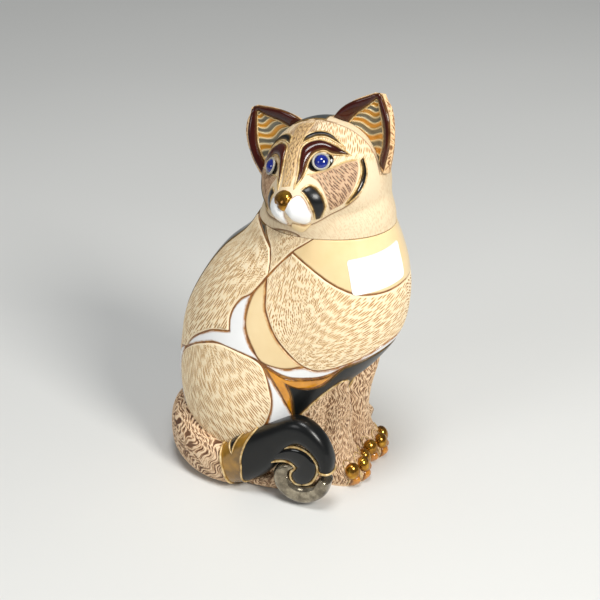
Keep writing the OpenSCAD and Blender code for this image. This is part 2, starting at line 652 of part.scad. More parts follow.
shoulder_panel(-1);  // left_shoulder_panel
shoulder_panel(1);  // right_shoulder_panel
haunch_panel(-1);  // left_haunch_panel
haunch_panel(1);  // right_haunch_panel
haunch_inlay(-1);  // left_haunch_inlay
haunch_inlay(1);  // right_haunch_inlay
belly_band();
gold_gusset(-1);  // left_gold_gusset
gold_gusset(1);  // right_gold_gusset
black_gusset(-1);  // left_black_gusset
black_gusset(1);  // right_black_gusset
neck_wedge(-1);  // left_neck_wedge
neck_wedge(1);  // right_neck_wedge
haunch_rim(-1);  // left_haunch_rim
haunch_rim(1);  // right_haunch_rim
spine_stripe();
paper_label();
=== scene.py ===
"""Seated ceramic cat: carved fur, raised enamel cells and lustre details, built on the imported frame.

Every new piece is a numpy grid, a function of two parameters, in millimetres in the frame's own
axes: the cat faces -Y, its right side is -X, and it stands on Z = 0.
"""

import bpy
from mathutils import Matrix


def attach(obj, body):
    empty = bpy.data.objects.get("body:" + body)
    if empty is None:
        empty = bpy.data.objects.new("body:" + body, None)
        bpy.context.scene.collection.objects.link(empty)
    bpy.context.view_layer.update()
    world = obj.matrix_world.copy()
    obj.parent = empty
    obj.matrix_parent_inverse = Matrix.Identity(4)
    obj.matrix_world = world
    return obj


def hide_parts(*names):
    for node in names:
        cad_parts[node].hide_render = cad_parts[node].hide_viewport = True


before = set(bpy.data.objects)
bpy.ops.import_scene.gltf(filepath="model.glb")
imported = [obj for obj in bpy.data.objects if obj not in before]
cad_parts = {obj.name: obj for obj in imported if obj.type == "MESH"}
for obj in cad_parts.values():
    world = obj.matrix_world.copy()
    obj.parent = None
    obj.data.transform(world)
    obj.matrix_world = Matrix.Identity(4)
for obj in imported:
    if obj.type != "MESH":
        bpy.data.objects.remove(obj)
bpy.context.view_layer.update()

import bpy
import numpy as np
from mathutils import Vector

bl_info = {
    "name": "Ceramic cat",
    "version": (1, 0, 0),
    "blender": (4, 5, 0),
    "location": "3D View > Sidebar > Cat",
    "description": "Glazed and carved surfaces of a seated ceramic cat",
    "category": "Object",
}

BODY = "root"
MM = 0.001
TAU = 2 * np.pi

# Torso sections: height, middle, then the radius at 0, 45, 90, 135 and 180 degrees from the front
TORSO_ROWS = np.array([
    [0, 6, 17, 24, 28, 34, 38], [12, 6, 19, 27, 33, 41, 46], [28, 6, 21, 29, 35, 45, 52],
    [45, 6, 27, 32, 35, 46, 53], [58, 5, 38, 36, 34, 45, 53], [72, 2, 44, 38, 33, 44, 53],
    [88, -2, 43, 37, 31, 41, 49], [102, -5, 39, 34, 29, 36, 42], [112, -7, 34, 31, 27, 31, 33],
    [121, -8, 30, 27, 25, 27, 28]], float)
COLLAR = 121
SERIES = (np.cos(np.radians(45 * np.outer(range(5), range(5)))) * [1, 2, 2, 2, 1]
          / np.array([8, 4, 4, 4, 8])[:, None])

# Skull: width, depth and height, the share of its depth in front of the middle, and swellings
# as longitude, latitude, their spreads, and height
HEAD_SIZE = (53, 56, 54)
FACE_SHARE = 0.473
SWELLINGS = ((0, -20, 26, 17, 9), (0, -50, 26, 18, 2.5), (0, 8, 13, 26, 2.2), (30, 10, 15, 12, -1.6),
             (-30, 10, 15, 12, -1.6), (52, -18, 24, 22, 1.7), (-52, -18, 24, 22, 0.2),
             (50, -44, 24, 14, -2.5), (-52, -44, 30, 18, -4))
HEAD_RISE = 15
HEAD_AT = np.array([1.5, -7.5, COLLAR + HEAD_RISE])
HEAD_TURN, HEAD_TIP, HEAD_LEAN = 100, 20, 16
NECK_WAIST = 0.2
SOFTNESS = 0.8
LIFT = 0.15

# Tail stations: place, half thickness, half height, and the way the outer side faces
TAIL_ROWS = ((15, 45, 14, 3, 5, 65), (4, 51.5, 15, 8, 12.5, 85), (-10, 52, 15, 9.5, 13.5, 100),
             (-21, 47.5, 14, 9.5, 13.5, 128), (-29.5, 38, 11.5, 9, 11, 155),
             (-33.5, 28, 10.2, 8.5, 9.8, 175), (-34.5, 19, 11.8, 8, 9.8, 180),
             (-35.5, 8, 20, 7, 10, 180), (-36.5, -4, 31.8, 6, 6.4, 180),
             (-37, -12.5, 36.4, 5.4, 6.2, 180), (-37.3, -20, 33, 5, 5, 180),
             (-37.5, -24.8, 26, 4.6, 3.6, 180), (-37.5, -25.4, 19.5, 4.4, 2.8, 180))
HOOK_ROWS = ((-37.5, -25.2, 15.6, 4.3, 2.6, 180), (-37.5, -21.7, 9.2, 4.4, 3.8, 180),
             (-37.5, -14.2, 5.8, 4.5, 4.9, 180), (-37.5, -7.6, 7.8, 4.5, 5, 180),
             (-37.4, -4.9, 13, 4.4, 4.2, 180), (-37.2, -6.8, 17.2, 4, 2.8, 180),
             (-37, -10.8, 18.9, 3.2, 1.1, 180))
COMMA_TOP = [(3.4, 17.6), (-0.7, 23.1), (-5.5, 27.3), (-11, 29.5), (-16.6, 28.8), (-20.5, 25.7),
             (-22.2, 21.7), (-21.6, 17.3), (-19, 13.2), (-15, 11.1)]
COMMA_LOW = [(3.4, 17.6), (-3.3, 20.4), (-7.4, 21.3), (-10.4, 20.5), (-11.6, 18.8), (-9.9, 16.6),
             (-9.6, 13.8), (-11.6, 11.4), (-15, 11.1)]
COMMA_FACE = -39.4
FUR_END, BAND_END, BAND_SLANT, LEAST_BAND = 5.7, 6.5, 1.0, 6.1
HIND_ROWS = ((-26, 17, 1.8, 4, 1.8, 180), (-28, 11, 2.6, 7, 2.6, 180), (-28, 2, 4, 7, 4.2, 180),
             (-28.4, -6, 5, 4, 5.2, 180), (-28.6, -14, 4.4, 3.2, 4.4, 180),
             (-28.6, -19, 3.4, 2.4, 3.2, 180))
FREE_HIND_ROWS = ((-23, 24, 3, 5, 3, 180), (-27, 13, 5, 8, 5, 180), (-30, 1, 7, 8, 7, 180),
                  (-31.5, -8, 7, 7, 7, 180), (-31.5, -14, 6, 6.6, 6, 180),
                  (-31.5, -17, 5, 5.4, 4.8, 180))
# Foreleg sections: height, middle, share of the half width, half depth, and shift outwards
LEG_ROWS = np.array([
    [0, -16.8, 0.98, 13.9, 0], [4, -18, 1.02, 14.3, 0], [9, -16.8, 1, 12.5, 0],
    [14, -14.8, 0.95, 10.8, 0], [22, -13.3, 0.93, 10.5, 0], [32, -13, 0.95, 11.5, 0.3],
    [40, -13.5, 0.9, 12.6, 1.6], [44, -14.5, 0.8, 12.6, 2.6], [48, -16, 0.66, 12.2, 4.4],
    [52, -17.5, 0.4, 11.6, 7], [54, -18.5, 0.15, 11.2, 8]])
# Widest and narrowest angle, from the front, that a foreleg reaches at each height on the torso
LEG_SPAN = ((30, 33, 36, 38, 39, 45.5, 46, 52, 52.5, 54), (95, 80, 67.8, 63.7, 62, 51, 50, 38, 37, 31),
            (-60, 0, 5, 8, 9, 16.5, 17, 25, 26, 31))
LEG_W, LEG_X, TOE_H, JOINT_GAP, LEG_GAP = 20.5, 1, 11, 0.35, 0.95

# Front edges of the left ear from seat to tip, in the head's own frame
EAR_CROWN_EDGE = ((6.5, -5, 25), (13, -6.5, 29), (20, -7, 31.8), (28.5, -6, 33.8))
EAR_OUTER_EDGE = ((28.5, -2, 1), (33, -4.5, 12), (34.5, -6, 23), (31.8, -6, 33))
EAR_HOLLOW, EAR_WALL, EAR_DEPTH, EAR_FLARE = 4, 2.2, 12, 0.1
EYE_AT, EYE_R, EYE_SINK, EYE_SEAT = (31, 15), 3.1, 1.6, 1.2
EYE_SHIFT, EYE_DROP = 2.2, 1
RING_GAP, RING_R = 0.15, 0.5
SOCKET_SIZE, SOCKET_SLOPE = (8.2, 4.3), 14


# ---- Curves and noise ----

def row_at(rows, t):
    """Smooth value of a table at t: a cubic between rows, with slopes from the rows beside."""
    rows = np.asarray(rows, float)
    t = np.asarray(t, float)
    x, last = rows[:, 0], len(rows) - 1
    low, high = np.maximum(np.arange(last + 1) - 1, 0), np.minimum(np.arange(last + 1) + 1, last)
    slope = (rows[high] - rows[low]) / (x[high] - x[low])[:, None]
    i = np.clip(np.searchsorted(x, t, side="right") - 1, 0, last - 1)
    h = (x[i + 1] - x[i])[..., None]
    s = (t - x[i])[..., None] / h
    return ((2 * s**3 - 3 * s**2 + 1) * rows[i] + (s**3 - 2 * s**2 + s) * h * slope[i]
            + (3 * s**2 - 2 * s**3) * rows[i + 1] + (s**3 - s**2) * h * slope[i + 1])


def on_curve(points, t):
    """Point at t along a smooth curve, where point number 0, 1, 2 ... is passed at t = 0, 1, 2 ..."""
    points = np.asarray(points, float)
    return row_at(np.column_stack([np.arange(len(points)), points]), t)[..., 1:]


def unit(v):
    """A vector divided by its length."""
    return v / np.maximum(np.linalg.norm(v, axis=-1, keepdims=True), 1e-12)


def hashed(a, b=0.0):
    """Repeatable value from 0 to 1 for whole-number keys: the fraction of a large sine."""
    v = np.sin(a * 12.9898 + b * 78.233) * 43758.5453
    return v - np.floor(v)


def wander(p, scale, seed=1):
    """Gentle wandering from -1 to 1: the mean of four sine waves crossing at odd angles."""
    rng = np.random.default_rng(seed)
    way = rng.normal(size=(4, p.shape[-1]))
    return np.sin(p @ way.T / scale + rng.uniform(0, TAU, 4)).mean(-1) * 1.6


def smooth(x, low, high):
    """Share of the way from low to high, eased at both ends by 3 s squared less 2 s cubed."""
    s = np.clip((x - low) / (high - low), 0, 1)
    return s * s * (3 - 2 * s)


def strokes(along, across, pitch, length, seed=0, sway=0.5):
    """Carved strokes, 0 on the skin to 1 at the bottom of a groove.

    Rows a pitch apart hold dashes of the given length; each dash has its own start, reach, side
    step and slant, and its section is a parabola whose width tapers to both ends.
    """
    base = np.floor(across / pitch)
    deepest = np.zeros(np.broadcast(along, across).shape)
    for step in (-1, 0, 1):
        row = base + step
        u = along / length * (0.85 + 0.3 * hashed(row, seed + 3)) + 17 * hashed(row, seed)
        dash = np.floor(u)
        x = (u - dash - 0.5) / (0.32 + 0.17 * hashed(dash, row + seed))
        taper = np.sqrt(np.maximum(1 - x**2, 0))
        aside = sway * (hashed(dash + 5, row * 3 + seed) - 0.5) * 2 + sway * x * (
            hashed(dash * 7, row + seed + 9) - 0.5)
        away = (across / pitch - row - 0.5 - aside * 0.6) / (0.1 + 0.16 * taper)
        deepest = np.maximum(deepest, taper * np.maximum(1 - away**2, 0))
    return deepest


# ---- The forms of the castings ----

def ring_radius(radii, angle):
    """Radius at an angle: a cosine series through five evenly spaced radii."""
    return (radii @ SERIES.T * np.cos(np.radians(angle)[..., None] * np.arange(5))).sum(-1)


def torso_skin(angle, z):
    """Torso at an angle and height: the middle and radii of the table at z, turned to the angle."""
    angle, z = np.broadcast_arrays(np.asarray(angle, float), np.asarray(z, float))
    row = row_at(TORSO_ROWS, z)
    r = ring_radius(row[..., 2:], angle)
    a = np.radians(angle)
    return np.stack([-r * np.sin(a), row[..., 1] - r * np.cos(a), z], -1)


def torso_point(angle, z, off=0.0):
    """Torso skin at an angle from the front towards the cat's right, moved out along its normal."""
    across = torso_skin(angle - 0.5, z) - torso_skin(angle + 0.5, z)
    up = torso_skin(angle, z + 0.5) - torso_skin(angle, z - 0.5)
    return torso_skin(angle, z) + np.asarray(off)[..., None] * unit(np.cross(across, up))


def off_torso(p, gap):
    """Points pushed straight out until they clear the torso."""
    row = row_at(TORSO_ROWS, np.clip(p[..., 2], 0, COLLAR))
    x, y = p[..., 0], p[..., 1] - row[..., 1]
    angle = np.degrees(np.arctan2(-x, -y))
    k = np.maximum(1, (ring_radius(row[..., 2:], angle) + gap) / np.maximum(np.hypot(x, y), 1e-6))
    return np.stack([x * k, row[..., 1] + y * k, p[..., 2]], -1)


def turning(axis, degrees):
    """Matrix that turns about axis 0, 1 or 2 by the angle."""
    c, s = np.cos(np.radians(degrees)), np.sin(np.radians(degrees))
    i, j = ((1, 2), (2, 0), (0, 1))[axis]
    m = np.eye(3)
    m[i, i], m[i, j], m[j, i], m[j, j] = c, -s, s, c
    return m


FACE = turning(2, -HEAD_TURN) @ turning(0, -HEAD_TIP) @ turning(1, -HEAD_LEAN)


def skull_radius(d):
    """Radius of the skull: an ellipsoid plus rounded swellings at the muzzle, jaw and cheeks."""
    depth = HEAD_SIZE[1] * np.where(d[..., 1] > 0, 1 - FACE_SHARE, FACE_SHARE)
    lon = np.degrees(np.arctan2(d[..., 0], -d[..., 1]))
    lat = np.degrees(np.arcsin(np.clip(d[..., 2], -1, 1)))
    r = 1 / np.sqrt((2 * d[..., 0] / HEAD_SIZE[0])**2 + (d[..., 1] / depth)**2
                    + (2 * d[..., 2] / HEAD_SIZE[2])**2)
    for at_lon, at_lat, wide, tall, rise in SWELLINGS:
        r = r + rise * np.exp(-((lon - at_lon) / wide)**2 - ((lat - at_lat) / tall)**2)
    return r


def neck_radius(d):
    """Radius of a waisted column that stands on the torso's collar, seen from the head's middle."""
    level = np.maximum(np.hypot(d[..., 0], d[..., 1]), 1e-6)
    row = row_at(TORSO_ROWS, COLLAR)
    rim = ring_radius(row[2:], np.degrees(np.arctan2(-d[..., 0], -d[..., 1])))
    shift = (-HEAD_AT[0] * d[..., 0] + (row[1] - HEAD_AT[1]) * d[..., 1]) / level
    waist = 1 - NECK_WAIST * (1 - np.clip(-d[..., 2] * 2.2, 0, 1))**2
    bearing = np.degrees(np.arctan2(-d[..., 0], -d[..., 1]))
    waist = waist - 0.2 * np.exp(-((bearing - 158) / 32)**2) * (1 - np.clip(-d[..., 2] * 2.1, 0, 1))
    return (rim + shift) / level * waist


def head_reach(local, off=0.0):
    """Outer skin of the head: the larger of skull and neck, cut level at the collar."""
    d = local @ FACE.T
    skull, neck = skull_radius(local), neck_radius(d)
    both = np.maximum(skull, neck) + SOFTNESS * np.log1p(np.exp(-np.abs(skull - neck) / SOFTNESS))
    skin = np.where(d[..., 2] > 0, skull, both) + off
    floor = (HEAD_RISE - LIFT) / np.maximum(-d[..., 2], 1e-6)
    return np.where(d[..., 2] < 0, np.minimum(skin, floor), skin)


def facing(lon, lat):
    """Direction at a longitude towards the cat's left and a latitude, in the face's own frame."""
    a, b = np.radians(lon), np.radians(lat)
    return np.stack([np.cos(b) * np.sin(a), -np.cos(b) * np.cos(a), np.sin(b)], -1)


def head_along(local, off=0.0):
    """Point where a ray from the head's middle leaves its skin, moved out along the ray."""
    return HEAD_AT + (local * head_reach(local, off)[..., None]) @ FACE.T


def head_point(lon, lat, off=0.0):
    """Head skin at a longitude and latitude of the face, moved out along the ray."""
    return head_along(facing(*np.broadcast_arrays(lon, lat)), off)


def crown_point(across, along, off=0.0):
    """The same skin measured across and along the middle of the crown."""
    u, v = np.radians(np.asarray(across, float)), np.radians(np.asarray(along, float))
    return head_along(np.stack([np.sin(u), -np.cos(u) * np.cos(v), np.cos(u) * np.sin(v)], -1), off)


def off_head(v, gap):
    """Points pushed out along their rays until they clear the skull by the gap."""
    reach = np.linalg.norm(v, axis=-1)
    d = unit(v)
    return d * np.maximum(reach, skull_radius(d) + gap)[..., None]


def rounded(x):
    """A sine or cosine to the power 0.8, which flattens an oval's four sides."""
    return np.sign(x) * np.abs(x)**0.8


def limb_point(rows, s, angle, off=0.0):
    """Limb with a flattened oval section: station s, angle 0 on the outer side and 90 on top."""
    s, angle, off = np.broadcast_arrays(np.asarray(s, float), np.asarray(angle, float), off)
    at = on_curve(rows, s)
    ahead = (on_curve(rows, s + 0.05) - on_curve(rows, s - 0.05))[..., :3]
    way = unit(ahead)
    face = np.radians(at[..., 5])
    out = np.stack([np.cos(face), np.sin(face), np.zeros_like(face)], -1)
    side = unit(out - (out * way).sum(-1, keepdims=True) * way)
    a = np.radians(angle)
    p = (at[..., :3] + ((at[..., 3] + off) * rounded(np.cos(a)))[..., None] * side
         + ((at[..., 4] + off) * rounded(np.sin(a)))[..., None] * np.cross(side, way))
    p[..., 2] = np.maximum(p[..., 2], 0)
    return off_torso(p, JOINT_GAP)


def leg_point(side, angle, z, off=0.0):
    """Foreleg: a rounded column with three lobes where the toes swell at the foot."""
    angle, z = np.broadcast_arrays(np.asarray(angle, float), np.asarray(z, float))
    row = row_at(LEG_ROWS, z)
    a = np.radians(angle)
    across, depth = -rounded(np.sin(a)), -rounded(np.cos(a))
    fade = np.maximum(0, 1 - z / TOE_H)
    toes = 1.3 * np.maximum(np.cos(a), 0) * np.sqrt(fade) * np.abs(np.cos(np.radians(270 * across)))
    x = (LEG_X - side * (LEG_W / 2 + 0.4 + row[..., 4])
         + across * (row[..., 2] * LEG_W / 2 + off))
    y = row[..., 1] + depth * (row[..., 3] + off + toes)
    return spanned(off_torso(np.stack([x, y, z], -1), LEG_GAP + off), side, off)


def spanned(p, side, off):
    """Leg points kept inside the leg's span: the leg sinks to the torso towards its upper edge."""
    z = p[..., 2]
    row = row_at(TORSO_ROWS, np.clip(z, 0, COLLAR))
    x, y = p[..., 0], p[..., 1] - row[..., 1]
    angle = side * np.degrees(np.arctan2(-x, -y))
    widest, least = (np.interp(z, LEG_SPAN[0], LEG_SPAN[k]) for k in (1, 2))
    inside = np.clip(angle, least, widest)
    share = smooth(np.minimum(angle - least, widest - angle), 0, 14)**0.6
    share = share + (1 - share) * smooth(z, 33, 30)
    inside = inside + (angle - inside) * smooth(z, 33, 30)
    floor = ring_radius(row[..., 2:], side * inside) + LEG_GAP + off
    reach = floor + (np.maximum(np.hypot(x, y), floor) - floor) * share
    a = np.radians(inside)
    return np.stack([-side * reach * np.sin(a), row[..., 1] - reach * np.cos(a), z], -1)


def ear_edge(side, points, s):
    """Point of an ear's edge: a smooth curve through its points, s from seat to tip."""
    return on_curve(points, np.clip(s, 0, 1.05) * (len(points) - 1)) * [side, 1, 1]


def ear_point(side, across, s, off=0.0):
    """Hollow front of an ear: across from the crown edge to the outer edge, s from seat to tip."""
    across, s = np.broadcast_arrays(np.asarray(across, float), np.asarray(s, float))
    a, b = ear_edge(side, EAR_CROWN_EDGE, s), ear_edge(side, EAR_OUTER_EDGE, s)
    hollow = EAR_HOLLOW * np.sin(np.pi * np.clip(across, 0, 1)) * np.maximum(1 - s, 0)**0.7
    p = a + (b - a) * across[..., None]
    p[..., 1] += hollow - off
    return HEAD_AT + off_head(p, JOINT_GAP) @ FACE.T


def ear_back(side, across, s, off=0.0):
    """Rounded back of an ear, which swells towards its seat."""
    across, s = np.broadcast_arrays(np.asarray(across, float), np.asarray(s, float))
    a, b = ear_edge(side, EAR_CROWN_EDGE, s), ear_edge(side, EAR_OUTER_EDGE, s)
    depth = (EAR_WALL + off + EAR_DEPTH * np.maximum(1 - s, 0)**0.8
             * np.sqrt(np.sin(np.pi * np.clip(across, 0, 1))))
    p = a + (b - a) * across[..., None]
    p[..., 0] += side * depth * EAR_FLARE
    p[..., 1] += depth
    return HEAD_AT + off_head(p, JOINT_GAP) @ FACE.T


# ---- Meshes from grids ----

def grid_faces(n, m, around=False):
    """Quads over an n by m grid of points; around joins the last column to the first."""
    i, j = np.meshgrid(np.arange(n - 1), np.arange(m if around else m - 1), indexing="ij")
    k = (j + 1) % m
    return np.stack([i * m + j, i * m + k, (i + 1) * m + k, (i + 1) * m + j], -1).reshape(-1, 4)


class Shell:
    """Grids and rims gathered into one mesh; points that meet are joined when it is made."""

    def __init__(self):
        self.points, self.faces, self.rims, self.marks, self.count = [], [], [], {}, 0

    def grid(self, points, around=False, flip=False, **marks):
        """Add an n by m grid with its marks, and return the numbers of its points."""
        n, m = points.shape[:2]
        quads = grid_faces(n, m, around) + self.count
        self.faces.append(quads[:, ::-1] if flip else quads)
        self.points.append(points.reshape(-1, 3))
        for name in set(marks) | set(self.marks):
            held = self.marks.setdefault(name, [np.zeros(self.count)])
            held.append(np.broadcast_to(marks.get(name, 0.0), (n, m)).ravel())
        index = np.arange(n * m).reshape(n, m) + self.count
        self.count += n * m
        return index

    def rim(self, loop, flip=False):
        """Add one face round a loop of points."""
        self.rims.append(loop[::-1] if flip else loop)

    def make(self, name, material, slot, *nodes):
        """The mesh as an object that rides on the body and stands for the nodes."""
        points = np.concatenate(self.points) * MM
        _, first, same = np.unique(np.round(points / 2e-6).astype(np.int64), axis=0,
                                   return_index=True, return_inverse=True)
        same = same.ravel()
        quads = same[np.concatenate(self.faces)]
        double = quads == np.roll(quads, -1, axis=1)
        twice = double.sum(1)
        crossed = (quads[:, 0] == quads[:, 2]) | (quads[:, 1] == quads[:, 3])
        whole = quads[(twice == 0) & ~crossed]
        folded = quads[(twice == 1) & ~crossed]
        keep = ~double[(twice == 1) & ~crossed]
        thirds = folded[keep].reshape(-1, 3)
        loops = [whole.ravel(), thirds.ravel()]
        sizes = [np.full(len(whole), 4), np.full(len(thirds), 3)]
        for rim in self.rims:
            loop = same[rim]
            loop = loop[loop != np.roll(loop, 1)]
            if len(np.unique(loop)) == len(loop) > 2:
                loops.append(loop)
                sizes.append(np.array([len(loop)]))
        corners, sizes = np.concatenate(loops), np.concatenate(sizes)
        used, corners = np.unique(corners, return_inverse=True)
        mesh = bpy.data.meshes.new(name)
        mesh.vertices.add(len(used))
        mesh.vertices.foreach_set("co", points[first][used].astype(np.float32).ravel())
        mesh.loops.add(len(corners))
        mesh.loops.foreach_set("vertex_index", corners.ravel().astype(np.int32))
        mesh.polygons.add(len(sizes))
        mesh.polygons.foreach_set("loop_start", (np.cumsum(sizes) - sizes).astype(np.int32))
        mesh.update(calc_edges=True)
        mesh.validate()
        mesh.polygons.foreach_set("use_smooth", np.ones(len(mesh.polygons), bool))
        for mark, values in self.marks.items():
            held = mesh.attributes.new(mark, "FLOAT", "POINT")
            held.data.foreach_set("value", np.concatenate(values)[first][used].astype(np.float32))
        piece = bpy.data.objects.new(name, mesh)
        bpy.context.scene.collection.objects.link(piece)
        mesh.materials.append(material)
        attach(piece, BODY)
        if nodes:
            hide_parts(*nodes)
        return piece


# Row places near a cell's edge, in mm from the edge, close together where the enamel rounds over
EDGE_ROWS = np.array([0, 0.04, 0.12, 0.26, 0.46, 0.72, 1.0])
BURIED = -0.4
ROUND_END = 1.3
BEAD_SIDES = 8


def measured(skin, arcs):
    """An edge as parameter points with the length along it, and the lengths at its corners."""
    parts, corners, total = [], [0.0], 0.0
    lengths = []
    for arc in arcs:
        p = on_curve(arc, np.linspace(0, len(arc) - 1, 24 * len(arc)))
        s = skin(p[:, 0], p[:, 1], 0.0)
        run = np.r_[0, np.cumsum(np.linalg.norm(np.diff(s, axis=0), axis=1))]
        parts.append(p)
        lengths.append(total + run)
        total += run[-1]
        corners.append(total)
    return np.concatenate(parts), np.concatenate(lengths), np.array(corners)


def spread(length, inset, pitch, ends=(True, True)):
    """Places from one end to the other, about a pitch apart and closer near the rounded ends."""
    e = EDGE_ROWS * min(1, max(length - 2 * inset, 0.01) / 2 / ROUND_END)
    low = inset + e if ends[0] else np.array([0.0])
    high = length - inset - e[::-1] if ends[1] else np.array([length])
    count = max(2, int(np.ceil((high[0] - low[-1]) / pitch)) + 1)
    return np.r_[low, np.linspace(low[-1], high[0], count)[1:-1], high]


def cell(shell, skin, edge_a, edge_b, top=0.5, inset=0.3, pitch=0.4, crown=0.0, roll=0.8,
         flush="", carve=None, depth=0.0, marks_b=None):
    """A closed slab between two edges, each a list of arcs in the skin's own coordinates.

    Its height is a quarter round of the distance from the edge, plus a pillow that rises with the
    smaller distance, less the carving. The underside follows the skin at a buried depth. Flush
    names the edges, a, b, s (start) or e (end), that meet a neighbour with no rounding.
    """
    pa, la, ca = measured(skin, edge_a)
    pb, lb, cb = measured(skin, edge_b)
    fa = ca / ca[-1]
    fb = np.array(marks_b) if marks_b is not None else (
        cb / cb[-1] if len(cb) == len(ca) else fa)
    long = max(la[-1], lb[-1])
    place = spread(long, inset, pitch, ("s" not in flush, "e" not in flush))
    t = place / long
    tb = np.interp(t, fa, fb)
    a = np.stack([np.interp(t * la[-1], la, pa[:, k]) for k in (0, 1)], -1)
    b = np.stack([np.interp(tb * lb[-1], lb, pb[:, k]) for k in (0, 1)], -1)
    way = np.linspace(0, 1, 13)
    lines = a[:, None] + (b - a)[:, None] * way[None, :, None]
    rods = skin(lines[..., 0], lines[..., 1], 0.0)
    run = np.concatenate([np.zeros((len(t), 1)),
                          np.cumsum(np.linalg.norm(np.diff(rods, axis=1), axis=2), axis=1)], 1)
    width = run[:, -1]
    square = []
    for end, k in ((0, 1), (-1, -2)):
        edge = np.gradient(rods[:, end], axis=0)
        rod = unit(rods[:, k] - rods[:, end])
        square.append(np.clip(np.linalg.norm(np.cross(unit(edge), rod), axis=1), 0.35, 1))
    open_a, open_b = "a" in flush, "b" in flush
    room = width - inset / square[0] * (not open_a) - inset / square[1] * (not open_b)
    room = np.maximum(room, 0)
    start = np.where(room > 0, 0 if open_a else inset / square[0], width / 2)
    e = EDGE_ROWS[None] * np.minimum(1, room / 2 / ROUND_END)[:, None]
    low = np.zeros((len(t), 1)) if open_a else e / square[0][:, None]
    high = room[:, None] - (np.zeros((len(t), 1)) if open_b else e[:, ::-1] / square[1][:, None])
    low, high = np.minimum(low, room[:, None] / 2), np.maximum(high, room[:, None] / 2)
    count = max(3, int(np.ceil(room.max() / pitch)) + 1)
    mid = low[:, -1:] + (high[:, :1] - low[:, -1:]) * np.linspace(0, 1, count)[None, 1:-1]
    pos = np.concatenate([low, mid, high], 1)
    far = 1e3
    da = np.full_like(pos, far) if open_a else pos * square[0][:, None]
    db = np.full_like(pos, far) if open_b else (room[:, None] - pos) * square[1][:, None]
    ds = np.full_like(place, far) if "s" in flush else place - inset
    de = np.full_like(place, far) if "e" in flush else long - inset - place
    d = np.minimum(np.minimum(da, db), np.minimum(ds, de)[:, None])
    d = np.maximum(d, 0)
    where = np.stack([np.interp(r, q, way) for r, q in zip(pos + start[:, None], run)])
    grid = a[:, None] + (b - a)[:, None] * where[..., None]
    u, v = grid[..., 0], grid[..., 1]
    x = np.minimum(d / roll, 1)
    height = BURIED + (top - BURIED) * (1 - (1 - x)**2.4)**(1 / 2.0)
    if crown:
        widest = max(room.max(), 1)
        bow = 4 * pos * (room[:, None] - pos) / np.maximum(room[:, None], 1e-6)**2
        end = smooth(np.minimum(ds, de) / (0.45 * widest), 0, 1)[:, None]
        height = height + crown * bow**0.8 * (room[:, None] / widest)**0.9 * (0.15 + 0.85 * end)
    groove = np.zeros_like(d)
    if carve is not None:
        groove = carve(u, v) * smooth(d, 0.35, 1.1)
    height = height - depth * groove
    upper = skin(u, v, height)
    rows = np.unique(np.r_[np.linspace(0, pos.shape[1] - 1, max(2, int(room.max() / 3) + 2)).round()]
                     .astype(int))
    lower = skin(u[:, rows], v[:, rows], np.full(u[:, rows].shape, BURIED))
    lower[:, 0], lower[:, -1] = upper[:, 0], upper[:, -1]
    i, j = upper.shape[0] // 2, upper.shape[1] // 2
    normal = np.cross(upper[i, j + 1] - upper[i, j], upper[i + 1, j] - upper[i, j])
    outward = skin(u[i, j], v[i, j], 1.0) - skin(u[i, j], v[i, j], 0.0)
    flip = bool((normal * outward).sum() > 0)
    edge_mark = 1 - smooth(d, 0.1, 1.0)
    hi = shell.grid(upper, flip=not flip, groove=groove, edge=edge_mark)
    lo = shell.grid(lower, flip=flip, groove=0.0, edge=1.0)
    first = np.r_[hi[0], lo[0][-2:0:-1]]
    last = np.r_[hi[-1], lo[-1][-2:0:-1]]
    shell.rim(first, flip=flip)
    shell.rim(last, flip=not flip)


def cord_line(shell, line, normal, radius, closed=False):
    """Rounded bead along a line of points: rings across the line, tapering to nothing at the ends."""
    ahead = unit(np.gradient(line, axis=0))
    if closed:
        ahead = unit(np.roll(line, -1, 0) - np.roll(line, 1, 0))
    side = unit(np.cross(ahead, normal))
    up = np.cross(side, ahead)
    n = len(line)
    size = np.full(n, float(radius))
    if not closed:
        k = np.minimum(np.arange(n), np.arange(n)[::-1])
        size = radius * np.sqrt(np.clip(k / 5, 0, 1))
    a = TAU * np.arange(BEAD_SIDES) / BEAD_SIDES
    rings = line[:, None] + size[:, None, None] * (np.cos(a)[None, :, None] * side[:, None]
                                                   + np.sin(a)[None, :, None] * up[:, None])
    if closed:
        rings = np.concatenate([rings, rings[:1]])
    shell.grid(rings, around=True, flip=True, groove=0.0)


def bead(shell, skin, arcs, radius=0.45, pitch=0.5, rise=0.3):
    """A raised line laid along arcs on a skin."""
    for arc in arcs:
        p, length, _ = measured(skin, [arc])
        at = np.linspace(0, length[-1], max(8, int(length[-1] / pitch)))
        u, v = (np.interp(at, length, p[:, k]) for k in (0, 1))
        line = skin(u, v, np.full(len(at), rise))
        normal = unit(line - skin(u, v, np.full(len(at), rise - 1)))
        cord_line(shell, line, normal, radius)


def near(points, line, reach=3.0):
    """Distance from each point to a line of points, up to a reach."""
    flat = points.reshape(-1, 3).astype(np.float32)
    line = np.asarray(line, np.float32)
    best = np.full(len(flat), reach, np.float32)
    box = np.all((flat > line.min(0) - reach) & (flat < line.max(0) + reach), axis=1)
    close = flat[box]
    a, ab = line[:-1], np.diff(line, axis=0)
    size = np.maximum((ab**2).sum(1), 1e-9)
    found = np.full(len(close), reach, np.float32)
    for k in range(0, len(close), 20000):
        ap = close[k:k + 20000, None] - a[None]
        t = np.clip((ap * ab).sum(2) / size, 0, 1)
        gap = np.linalg.norm(ap - t[..., None] * ab, axis=2).min(1)
        found[k:k + 20000] = np.minimum(gap, reach)
    best[box] = found
    return best.reshape(points.shape[:-1])


def mirrored(edge, side):
    """Arcs with the first coordinate times side."""
    return [[(side * p[0], p[1]) for p in arc] for arc in edge]


# ---- Finishes ----

